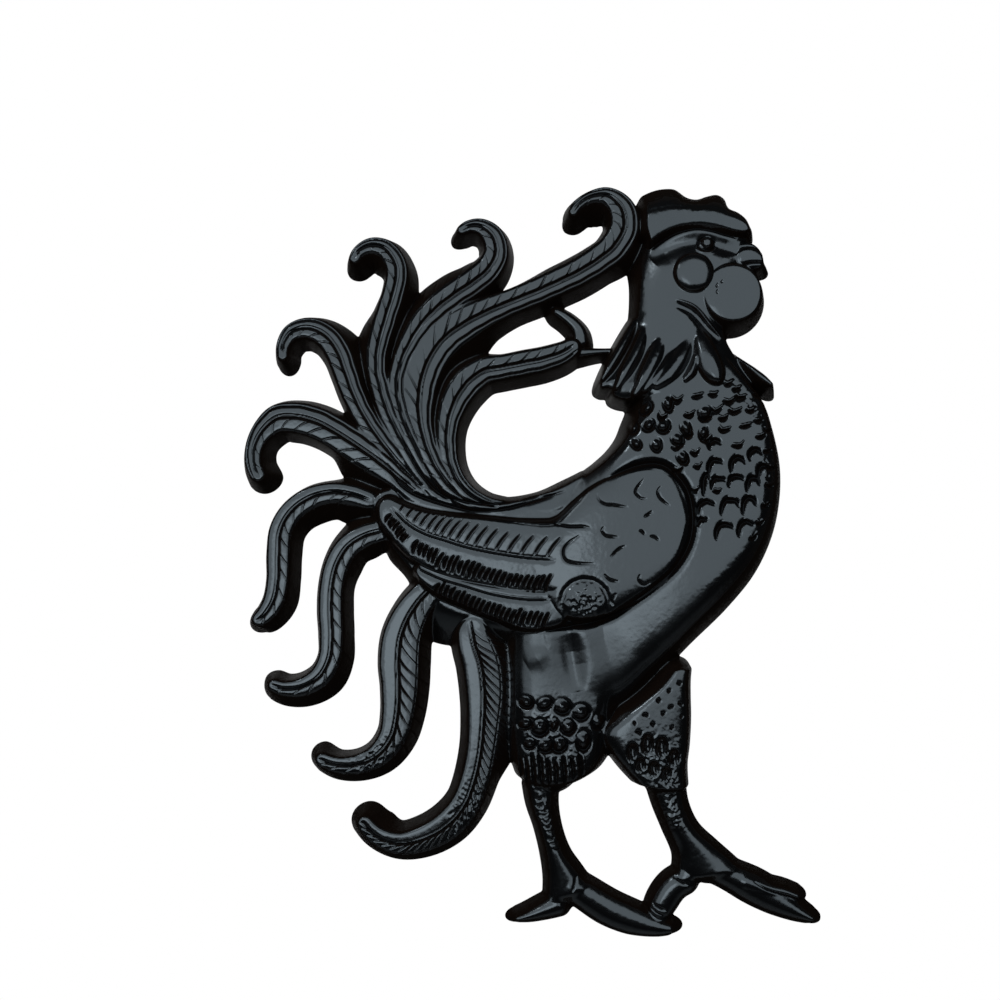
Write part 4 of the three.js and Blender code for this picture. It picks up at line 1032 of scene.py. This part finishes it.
for k in range(SHANK_WRINKLES):
    x, z = -1 + 0.95 * k + draw.uniform(-0.7, 0.7), -143 - 2.7 * k + draw.uniform(-0.8, 0.8)
    points = [(x - 1.8, z + draw.uniform(-0.6, 1)), (x + 0.6, z - 0.4), (x + 2.6, z + draw.uniform(0, 1.4))]
    cut(points, SHANK_DEPTH, draw.uniform(0.4, 0.7), 0.8, 0.3)
for points, level in CREASES:
    cut(points, level, 0.6, 0.9, 0.3)
cut(MOUTH, BEAK_DEPTH, 0.6, 1, 0.2)
cut(COMB_GROOVE, HEAD_DEPTH, 0.8, 1.4, 0.15)
cut(shifted(COMB_GROOVE, 0.6, -6.4), HEAD_DEPTH, 4.6, 2.2, 0.15)
cut(BEAK_RIDGE, BEAK_DEPTH, 0.7, 0.9, 0.2)
cut(shifted(THROAT, -1.6, -2.2), HEAD_DEPTH, 2.7, 1.9, 0.4)
cut(THROAT, HEAD_DEPTH, 0.7, -1, 0.3)
for radius, width, depth, start, end, taper in EYE_RINGS:
    points = [(EYE_PLACE[0] + 1.1 * radius * math.cos(a), EYE_PLACE[1] + 0.85 * radius * math.sin(a))
              for a in np.linspace(start, end, 10)]
    cut(points, CHEEK_LEVEL, width, depth, taper)
for points in WATTLE_NICKS:
    cut(points, CHEEK_LEVEL, 0.45, 0.6, 0.3)

rough = softened(np.random.default_rng(7).normal(size=front.shape), 0.55)
rough /= rough.std()
strength = np.full(front.shape, UNEVEN_EVERYWHERE)
for x, z, radius, amount in UNEVEN:
    box, right, up = offsets(x, z, 2 * radius)
    away = np.hypot(right, up) / radius
    strength[box] = np.maximum(strength[box], amount * np.exp(-(away**2) * 1.4))
change((slice(None), slice(None)), rough * strength)
front = np.minimum(front, -cad_box[0][1] / MM - 0.02)

for x in HANGERS.values():
    pocket = window((x - POCKET_HALF, PAD_TOP), (x + POCKET_HALF - PITCH, POCKET_TOP))
    hollow[pocket] = np.maximum(hollow[pocket], POCKET_DEPTH)
    round_pad = window((x - POCKET_HALF, PAD_FOOT), (x + POCKET_HALF - PITCH, PAD_TOP))
    hollow[round_pad] = np.maximum(hollow[round_pad], PAD_LEVEL)
    pad = window((x - PAD_HALF, PAD_FOOT), (x + PAD_HALF - PITCH, PAD_TOP))
    hollow[pad] = PAD_LEVEL
hollow = softened(np.clip(np.minimum(hollow, front - LEAST_WALL), 0, None), 0.35)
hollow = np.clip(np.minimum(hollow, front - LEAST_WALL * 0.8), 0, None)


# Meshes

def on_lattice(field, x, z):
    """A field's value at points between the lattice's."""
    u, v = (x - LEFT) / PITCH, (z - FOOT) / PITCH
    i, j = np.clip(np.int32(u), 0, COLUMNS - 2), np.clip(np.int32(v), 0, ROWS - 2)
    a, b = u - i, v - j
    return ((1 - a) * (1 - b) * field[i, j] + a * (1 - b) * field[i + 1, j]
            + (1 - a) * b * field[i, j + 1] + a * b * field[i + 1, j + 1])


slope_x, slope_z = np.gradient(front, PITCH)
steepness = np.hypot(slope_x, slope_z)
satin = np.zeros(front.shape)
for x, z, radius, amount in SATIN:
    away = np.hypot(*np.meshgrid(xs - x, zs - z, indexing="ij")) / radius
    satin = np.maximum(satin, amount * np.exp(-(away**4)))
highest = np.maximum(np.maximum(front[:-1, :-1], front[1:, :-1]), np.maximum(front[:-1, 1:], front[1:, 1:]))
cell_owner = owner[:-1, :-1].copy()
for i, j in ((1, 0), (0, 1), (1, 1)):
    corner = front[i:COLUMNS - 1 + i, j:ROWS - 1 + j]
    cell_owner = np.where(corner >= highest, owner[i:COLUMNS - 1 + i, j:ROWS - 1 + j], cell_owner)
cell_owner[highest <= 0] = -1
cell_owner[(cell_owner == REGIONS.index("breast")) & (zs[:-1] > NECK_FOOT)] = REGIONS.index("neck")

# Stray cells go over to the region of most of their neighbours
for _ in range(3):
    ringed = np.pad(cell_owner, 1, constant_values=-1)
    around = [ringed[i:i + COLUMNS - 1, j:j + ROWS - 1] for i in range(3) for j in range(3)]
    votes = np.stack([sum(cells == index for cells in around) for index in range(len(REGIONS))])
    cell_owner = np.where(cell_owner >= 0, votes.argmax(0), -1)


def cast_region(region):
    """A region of the casting as a closed mesh."""
    mine = cell_owner == REGIONS.index(region)
    cols, rows = np.nonzero(mine.any(1))[0], np.nonzero(mine.any(0))[0]
    i0, i1, j0, j1 = cols[0], cols[-1] + 1, rows[0], rows[-1] + 1
    bm = bmesh.new()
    bmesh.ops.create_grid(bm, x_segments=i1 - i0, y_segments=j1 - j0, size=0.5)
    mesh = bpy.data.meshes.new("cast_" + region)
    bm.to_mesh(mesh)
    bm.free()
    count = len(mesh.vertices)
    flat = np.empty(count * 3)
    mesh.vertices.foreach_get("co", flat)
    flat = flat.reshape(-1, 3)
    i = np.rint((flat[:, 0] + 0.5) * (i1 - i0)).astype(int) + i0
    j = np.rint((flat[:, 1] + 0.5) * (j1 - j0)).astype(int) + j0
    points = np.stack([xs[i], -front[i, j], zs[j]], 1)
    mesh.vertices.foreach_set("co", points.ravel())
    corner = np.empty(len(mesh.polygons) * 4, np.int32)
    mesh.loops.foreach_get("vertex_index", corner)
    corner = corner.reshape(-1, 4)
    kept = mine[i[corner].min(1), j[corner].min(1)]
    bm = bmesh.new()
    bm.from_mesh(mesh)
    bm.faces.ensure_lookup_table()
    bmesh.ops.delete(bm, geom=[bm.faces[k] for k in np.nonzero(~kept)[0]], context="FACES")
    bmesh.ops.bisect_plane(bm, geom=bm.verts[:] + bm.edges[:] + bm.faces[:], dist=1e-6, plane_co=(0, 0, 0),
                           plane_no=(0, 1, 0), clear_outer=True)
    for face in bm.faces:
        middle = face.calc_center_median()
        steep = on_lattice(steepness, middle.x, middle.z) > WALL_SLOPE
        # Steep walls and narrow grooves take the second, almost glossless enamel: painted shade there.
        face.material_index = int(steep or on_lattice(carving, middle.x, middle.z) < SHADED_BELOW)
        face.smooth = True
    grown = bmesh.ops.extrude_face_region(bm, geom=bm.faces[:], use_keep_orig=True)["geom"]
    new = [v for v in grown if isinstance(v, bmesh.types.BMVert)]
    place = np.array([v.co for v in new])
    depth = on_lattice(hollow, place[:, 0], place[:, 2])
    depth[np.abs(place[:, 1]) < ON_WALL] = 0
    for v, d in zip(new, depth):
        v.co.y = -d
    bmesh.ops.remove_doubles(bm, verts=[v for v in bm.verts if abs(v.co.y) < ON_WALL], dist=MERGED)
    bmesh.ops.recalc_face_normals(bm, faces=bm.faces[:])
    bm.to_mesh(mesh)
    bm.free()
    return mesh


def put_in_scene(name, data):
    thing = bpy.data.objects.new(name, data)
    bpy.context.scene.collection.objects.link(thing)
    return thing


def finish_casting(region):
    """Brings a region into the frame, with the relief's normals in front, so that neighbours show as one."""
    mesh = cast_region(region)
    count = len(mesh.vertices)
    co = np.empty(count * 3)
    mesh.vertices.foreach_get("co", co)
    co = co.reshape(-1, 3)
    normals = np.empty(len(mesh.polygons) * 3)
    mesh.polygons.foreach_get("normal", normals)
    normals = normals.reshape(-1, 3)
    mesh.set_sharp_from_angle(angle=math.radians(50))
    corner_normals = np.empty(len(mesh.loops) * 3)
    mesh.corner_normals.foreach_get("vector", corner_normals)
    corner_normals = corner_normals.reshape(-1, 3)
    loop_vertex = np.empty(len(mesh.loops), np.int32)
    mesh.loops.foreach_get("vertex_index", loop_vertex)
    sizes = np.empty(len(mesh.polygons), np.int32)
    mesh.polygons.foreach_get("loop_total", sizes)
    face_of_loop = np.repeat(np.arange(len(sizes)), sizes)
    at = co[loop_vertex]
    sx, sz = on_lattice(slope_x, at[:, 0], at[:, 2]), on_lattice(slope_z, at[:, 0], at[:, 2])
    ideal = np.stack([-sx, -np.ones(len(sx)), -sz], 1)
    ideal /= np.linalg.norm(ideal, axis=1)[:, None]
    faces_viewer = normals[face_of_loop, 1] < -1e-3
    on_front = np.abs(-at[:, 1] - on_lattice(front, at[:, 0], at[:, 2])) < 0.05
    use = faces_viewer & on_front
    corner_normals[use] = ideal[use]
    steep = np.hypot(on_lattice(slope_x, co[:, 0], co[:, 2]), on_lattice(slope_z, co[:, 0], co[:, 2]))
    behind = -co[:, 1] < on_lattice(front, co[:, 0], co[:, 2]) - 0.4
    dull = on_lattice(satin, co[:, 0], co[:, 2])
    looks = {"wall": np.clip(steep - 0.7, 0, 1), "inside": behind.astype(float), "dull": dull}
    for title, value in looks.items():
        mesh.attributes.new(title, "FLOAT", "POINT").data.foreach_set("value", value.astype(np.float32))
    co[:, 0] += ORIGIN[0]
    co[:, 2] += ORIGIN[1]
    co *= MM
    mesh.vertices.foreach_set("co", co.ravel())
    mesh.normals_split_custom_set(corner_normals.tolist())
    mesh.update()
    piece = put_in_scene("cast_" + region, mesh)
    mesh.materials.append(enamel)
    mesh.materials.append(shade_enamel)
    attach(piece, "casting")
    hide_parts(NODE_OF.get(region, region))


# Finishes

class Tree:
    """A material's nodes, with short ways to add and join them."""

    def __init__(self, name):
        self.material = bpy.data.materials.new(name)
        self.material.use_nodes = True
        self.nodes, self.links = self.material.node_tree.nodes, self.material.node_tree.links
        self.shader = self.nodes["Principled BSDF"]
        self.place = self.nodes.new("ShaderNodeTexCoord").outputs["Object"]

    def noise(self, scale, detail=2, stretch=None):
        node = self.nodes.new("ShaderNodeTexNoise")
        node.inputs["Scale"].default_value = scale
        node.inputs["Detail"].default_value = detail
        vector = self.place
        if stretch:
            mapping = self.nodes.new("ShaderNodeMapping")
            mapping.inputs["Scale"].default_value = stretch
            self.links.new(vector, mapping.inputs["Vector"])
            vector = mapping.outputs["Vector"]
        self.links.new(vector, node.inputs["Vector"])
        return node.outputs["Fac"]

    def attribute(self, name):
        node = self.nodes.new("ShaderNodeAttribute")
        node.attribute_name = name
        return node.outputs["Fac"]

    def spread(self, value, low, high, new_low, new_high):
        node = self.nodes.new("ShaderNodeMapRange")
        self.links.new(value, node.inputs["Value"])
        limits = {"From Min": low, "From Max": high, "To Min": new_low, "To Max": new_high}
        for socket, number in limits.items():
            node.inputs[socket].default_value = number
        return node.outputs["Result"]

    def mixed(self, share, a, b):
        node = self.nodes.new("ShaderNodeMix")
        node.data_type = "RGBA"
        self.links.new(share, node.inputs[0])
        for socket, colour in ((6, a), (7, b)):
            if isinstance(colour, tuple):
                node.inputs[socket].default_value = (*colour, 1)
            else:
                self.links.new(colour, node.inputs[socket])
        return node.outputs[2]

    def sum(self, a, b, operation="ADD"):
        node = self.nodes.new("ShaderNodeMath")
        node.operation = operation
        self.links.new(a, node.inputs[0])
        if isinstance(b, (int, float)):
            node.inputs[1].default_value = b
        else:
            self.links.new(b, node.inputs[1])
        return node.outputs[0]

    def bump(self, height, distance, strength=1.0, below=None):
        node = self.nodes.new("ShaderNodeBump")
        node.inputs["Distance"].default_value = distance
        node.inputs["Strength"].default_value = strength
        self.links.new(height, node.inputs["Height"])
        if below is not None:
            self.links.new(below, node.inputs["Normal"])
        return node.outputs["Normal"]

    def finish(self, colour, roughness, normal):
        for socket, value in (("Base Color", colour), ("Roughness", roughness), ("Normal", normal)):
            self.links.new(value, self.shader.inputs[socket])
        return self.material


def make_enamel(name, gloss):
    """Thick gloss enamel: an orange-peel skin in front, thin and matt on the walls and the sand-cast back.
    The walls' brown colour is a painted reflection.
    """
    tree = Tree(name)
    tree.shader.inputs["Specular IOR Level"].default_value = gloss
    # The blue specular tint is painted light: it gives every reflection the cool tone of the light it
    # mirrors.
    tree.shader.inputs["Specular Tint"].default_value = (0.76, 0.9, 1, 1)
    wall, inside = tree.attribute("wall"), tree.attribute("inside")
    cloud = tree.noise(60, 3)
    # On the walls the colour turns brown: a painted reflection, standing in for the brown sheen the walls
    # catch at a glancing angle.
    colour = tree.mixed(wall, (0.0016, 0.0017, 0.002), (0.0056, 0.0034, 0.0023))
    colour = tree.mixed(inside, colour, tree.mixed(cloud, (0.012, 0.0115, 0.011), (0.02, 0.018, 0.0165)))
    thin = tree.sum(wall, inside, "MAXIMUM")
    duller = tree.sum(tree.spread(wall, 0, 1, 0, 0.3), tree.spread(inside, 0, 1, 0, 0.36), "MAXIMUM")
    duller = tree.sum(duller, tree.spread(tree.attribute("dull"), 0, 1, 0, 0.2), "MAXIMUM")
    roughness = tree.sum(tree.spread(cloud, 0.3, 0.7, 0.13, 0.19), duller)
    skin = tree.bump(tree.noise(330, 1), 0.00022, 0.35)
    grain = tree.sum(tree.noise(1100, 3), tree.spread(thin, 0, 1, 0.06, 1), "MULTIPLY")
    return tree.finish(colour, roughness, tree.bump(grain, 0.00035, 0.5, skin))


# The second copy has almost no gloss: it paints shade on the steep walls and in narrow grooves, and keeps the
# backdrop's reflection off the walls.
enamel, shade_enamel = make_enamel("black_enamel", 0.6), make_enamel("black_enamel_painted_shade", 0.05)
for region in REGIONS:
    finish_casting(region)


# The hangers, which are shaped round their hinge line, in millimetres

WIRE_RADIUS = 1.2
EYE_INNER, EYE_OUTER = 1.5, 2.7
STRAP_HALF = 4.5
STRAP_LENGTH = 27
FOLD_LENGTH = 6.5
FOLD_BACK = -0.3
STRAP_BACK = -1.5
SCREW_HEIGHTS = (-11.5, -21.5)
SCREW_RADIUS, SCREW_BORE = 1.5, 1.8
SCREW_TIP = -8.45
SCREW_SEAT = -1.25
SCREW_HEAD = (2.8, 1.4)
RECESS_ARMS = ((2.9, 1.6, 0.62), (0.62, 1.52, 2.9))
RECESS_TAPER = 0.55
RING_HALF, RING_SIDE, RING_CORNER = 7, 4, 2


def make_zinc(name, stretch, tone):
    """Bright zinc plate: fine drawn lines, cloudy patches, and a dull bloom in places."""
    tree = Tree(name)
    tree.shader.inputs["Metallic"].default_value = 1
    cloud, lines = tree.noise(240, 4), tree.noise(900, 2, stretch)
    colour = tree.mixed(tree.spread(cloud, 0.35, 0.7, 0, 1), tone, tuple(0.78 * c for c in tone))
    roughness = tree.sum(tree.spread(lines, 0.3, 0.7, 0.2, 0.34), tree.spread(cloud, 0.4, 0.7, 0, 0.16))
    return tree.finish(colour, roughness, tree.bump(lines, 0.00003, 0.5))


def evaluated(piece):
    """The mesh that a piece's modifiers or curve give. The piece itself goes."""
    mesh = bpy.data.meshes.new_from_object(piece.evaluated_get(bpy.context.evaluated_depsgraph_get()))
    bpy.data.objects.remove(piece)
    return mesh


def carved(solid, tool):
    """A mesh less another, by a Boolean modifier."""
    pieces = [put_in_scene("shaping", mesh) for mesh in (solid, tool)]
    modifier = pieces[0].modifiers.new("carve", "BOOLEAN")
    modifier.operation, modifier.solver, modifier.object = "DIFFERENCE", "EXACT", pieces[1]
    result = evaluated(pieces[0])
    bpy.data.objects.remove(pieces[1])
    return result


def mesh_of(bm):
    """The mesh of what has been built, with its points merged and its faces turned outward."""
    bmesh.ops.remove_doubles(bm, verts=bm.verts, dist=MERGED)
    bmesh.ops.recalc_face_normals(bm, faces=bm.faces)
    mesh = bpy.data.meshes.new("shape")
    bm.to_mesh(mesh)
    bm.free()
    return mesh


def spun(profile, height, sides=40):
    """A solid turned about an axis along Y: the profile's points are [radius, y]."""
    bm = bmesh.new()
    points = [bm.verts.new((radius, y, height)) for radius, y in profile]
    edges = [bm.edges.new(pair) for pair in zip(points, points[1:])]
    bmesh.ops.spin(bm, geom=points + edges, cent=(0, 0, height), axis=(0, 1, 0), angle=2 * math.pi,
                   steps=sides, use_merge=True)
    return mesh_of(bm)


def strap_mesh():
    """A strip folded round the eye: its side profile drawn across the width, its foot cut round."""
    bm = bmesh.new()
    start, end = math.pi, -math.acos(FOLD_BACK / EYE_OUTER)
    inner_end = -math.acos(max(STRAP_BACK / EYE_INNER, -1)) + 0.02
    turn, eye = [
        [(radius * math.cos(a), radius * math.sin(a)) for a in np.linspace(first, last, 40)]
        for radius, first, last in ((EYE_OUTER, start, end), (EYE_INNER, inner_end, start - 0.02))
    ]
    seam = STRAP_BACK - 0.03
    profile = [
        (-EYE_OUTER, -STRAP_LENGTH), *turn, (FOLD_BACK, -FOLD_LENGTH), (STRAP_BACK, -FOLD_LENGTH),
        (STRAP_BACK, -0.4), *eye, (seam, -0.4), (seam, -FOLD_LENGTH - 0.02),
        (STRAP_BACK, -FOLD_LENGTH - 0.05), (STRAP_BACK, -STRAP_LENGTH),
    ]
    loops = [[bm.verts.new((x, y, z)) for y, z in profile] for x in np.linspace(-STRAP_HALF, STRAP_HALF, 25)]
    for a, b in zip(loops, loops[1:]):
        for k in range(len(profile)):
            bm.faces.new((a[k - 1], a[k], b[k], b[k - 1]))
    for end_loop in (loops[0], loops[-1]):
        bm.faces.new(end_loop)
    for vert in bm.verts:
        if vert.co.z < -STRAP_LENGTH + 0.01:
            vert.co.z += STRAP_HALF - math.sqrt(max(STRAP_HALF**2 - vert.co.x**2, 0))
    solid = mesh_of(bm)
    below = -EYE_OUTER - 1
    for height in SCREW_HEIGHTS:
        solid = carved(solid, spun([(0, below), (SCREW_BORE, below), (SCREW_BORE, 0), (0, 0)], height))
    return solid


def ring_mesh():
    """Wire bent to a ring with a straight foot, its ends butted in the strap's eye."""
    way = [(0.15, 0)]
    arcs = (
        (RING_HALF - RING_CORNER, RING_CORNER, RING_CORNER, -90, 0, 8), (0, RING_SIDE, RING_HALF, 0, 180, 40),
        (RING_CORNER - RING_HALF, RING_CORNER, RING_CORNER, 180, 270, 8),
    )
    for right, up, radius, start, end, count in arcs:
        way += [(right + radius * math.cos(math.radians(a)), up + radius * math.sin(math.radians(a)))
                for a in np.linspace(start, end, count)]
    way.append((-0.15, 0))
    wire = bpy.data.curves.new("wire", "CURVE")
    wire.dimensions = "3D"
    wire.bevel_depth, wire.bevel_resolution, wire.use_fill_caps = WIRE_RADIUS, 6, True
    line = wire.splines.new("POLY")
    line.points.add(len(way) - 1)
    for point, (x, z) in zip(line.points, way):
        point.co = (x, 0, z, 1)
    bm = bmesh.new()
    bm.from_mesh(evaluated(put_in_scene("wire", wire)))
    return mesh_of(bm)


def screw_mesh(height):
    """A pan-head screw with a cross recess, whose arms are carved one at a time, one a little deeper."""
    wide, tall = SCREW_HEAD
    crown = [(wide * math.cos(a) ** 0.6, SCREW_SEAT + 0.35 + (tall - 0.35) * math.sin(a))
             for a in np.linspace(0, math.pi / 2 - 0.05, 10)]
    profile = [
        (0, SCREW_TIP), (SCREW_RADIUS, SCREW_TIP + 1), (SCREW_RADIUS, SCREW_SEAT), (wide - 0.15, SCREW_SEAT),
        (wide, SCREW_SEAT + 0.15), *crown, (0, SCREW_SEAT + tall),
    ]
    solid = spun(profile, height)
    for size in RECESS_ARMS:
        bm = bmesh.new()
        made = bmesh.ops.create_cube(bm, size=1)["verts"]
        bmesh.ops.scale(bm, vec=size, verts=made)
        bmesh.ops.translate(bm, vec=(0, SCREW_SEAT + tall + 0.1, height), verts=made)
        for vert in made:
            if vert.co.y < SCREW_SEAT + tall:
                vert.co.x *= RECESS_TAPER
                vert.co.z = height + (vert.co.z - height) * RECESS_TAPER
        arm = bpy.data.meshes.new("recess")
        bm.to_mesh(arm)
        bm.free()
        solid = carved(solid, arm)
    return solid


def fit_hanger(name, node, mesh, x, body, slot, crease):
    """Brings a hanger's piece to its place in the frame."""
    place = (x + ORIGIN[0], -HINGE_DEPTH, HANGER_HEIGHT + ORIGIN[1])
    mesh.transform(Matrix.Scale(MM, 4) @ Matrix.Translation(place))
    mesh.materials.clear()
    mesh.materials.append(ZINC[slot])
    for polygon in mesh.polygons:
        polygon.use_smooth = True
    mesh.set_sharp_from_angle(angle=math.radians(crease))
    piece = put_in_scene(name, mesh)
    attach(piece, body)
    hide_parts(node)


ZINC = {
    "strap_zinc": make_zinc("strap_zinc", (6, 1, 0.12), (0.62, 0.64, 0.66)),
    "ring_zinc": make_zinc("ring_zinc", (1, 1, 1), (0.62, 0.64, 0.66)),
    "screw_zinc": make_zinc("screw_zinc", (1, 0.3, 1), (0.6, 0.61, 0.62)),
}
for side, x in HANGERS.items():
    node = f"{side}_hanger"
    fit_hanger(f"{side}_strap", f"{node}_strap", strap_mesh(), x, "casting", "strap_zinc", 30)
    fit_hanger(f"{side}_ring_wire", f"{node}_ring", ring_mesh(), x, f"{side}_ring", "ring_zinc", 60)
    for k, height in enumerate(SCREW_HEIGHTS, 1):
        screw = screw_mesh(height)
        fit_hanger(f"{side}_screw_{k}", f"{node}_screw_{k}", screw, x, "casting", "screw_zinc", 35)


# The room, the lights and the camera

def plane(name, width, height, place, turn, colour):
    mesh = bpy.data.meshes.new(name)
    bm = bmesh.new()
    bmesh.ops.create_grid(bm, x_segments=1, y_segments=1, size=0.5)
    matrix = Matrix.Translation(place) @ turn @ Matrix.Diagonal((width, height, 1, 1))
    bmesh.ops.transform(bm, matrix=matrix, verts=bm.verts)
    bm.to_mesh(mesh)
    bm.free()
    board = put_in_scene(name, mesh)
    material = bpy.data.materials.new(name)
    material.use_nodes = True
    shader = material.node_tree.nodes["Principled BSDF"]
    shader.inputs["Base Color"].default_value = (*colour, 1)
    shader.inputs["Roughness"].default_value = 1
    mesh.materials.append(material)
    return board


WHITE = (0.8, 0.8, 0.8)
plane("floor", 4, 3, (0, -1.45, -1.6), Matrix.Identity(4), WHITE)
backdrop = plane("backdrop", 6.9, 6.9, (-0.3, 7, 0.62), Matrix.Rotation(math.radians(90), 4, "X"), WHITE)

# The backdrop glows for the camera and in the gloss, but doesn't light the room
tree = backdrop.data.materials[0].node_tree
path = tree.nodes.new("ShaderNodeLightPath")
glow = tree.nodes.new("ShaderNodeEmission")
glow.inputs["Strength"].default_value = 1
rays = path.outputs["Is Camera Ray"]
for kind in ("Is Glossy Ray", "Is Transmission Ray"):
    joined = tree.nodes.new("ShaderNodeMath")
    joined.operation = "ADD"
    joined.use_clamp = True
    tree.links.new(rays, joined.inputs[0])
    tree.links.new(path.outputs[kind], joined.inputs[1])
    rays = joined.outputs[0]
mix = tree.nodes.new("ShaderNodeMixShader")
tree.links.new(rays, mix.inputs["Fac"])
tree.links.new(tree.nodes["Principled BSDF"].outputs[0], mix.inputs[1])
tree.links.new(glow.outputs[0], mix.inputs[2])
tree.links.new(mix.outputs[0], tree.nodes["Material Output"].inputs["Surface"])


def soft_light(name, place, aim, width, height, radiance, colour=(1, 1, 1)):
    light = bpy.data.lights.new(name, "AREA")
    light.shape = "RECTANGLE"
    light.size, light.size_y = width, height
    light.energy = radiance * math.pi * width * height
    light.color = colour
    lamp = put_in_scene(name, light)
    lamp.location = place
    lamp.rotation_euler = (Vector(aim) - Vector(place)).to_track_quat("-Z", "Y").to_euler()


soft_light("front_light", (-0.45, -1.3, 0.4), (-0.45, 0, 0.4), 3.3, 1.6, 1.9, (0.97, 0.99, 1))
soft_light("glint_light", (-0.75, -0.75, 0.75), (0, 0, -0.1), 0.1, 0.1, 40)
soft_light("near_light", (-0.27, -1.25, -0.2), (-0.27, 0, -0.2), 0.5, 0.44, 2.2, (0.97, 0.99, 1))

world = bpy.data.worlds.new("room")
bpy.context.scene.world = world
world.use_nodes = True
world.node_tree.nodes["Background"].inputs["Color"].default_value = (0.022, 0.021, 0.02, 1)
world.node_tree.nodes["Background"].inputs["Strength"].default_value = 1

lens = bpy.data.cameras.new("camera")
lens.lens = 42.5
lens.sensor_width = 36
lens.shift_x = -0.045
lens.shift_y = 0.1
lens.clip_start = 0.01
camera = put_in_scene("camera", lens)
camera.location = (-0.0035, -0.6, -0.1363)
camera.rotation_euler = (math.radians(90), 0, 0)
bpy.context.scene.camera = camera
bpy.context.scene.view_settings.view_transform = "Standard"
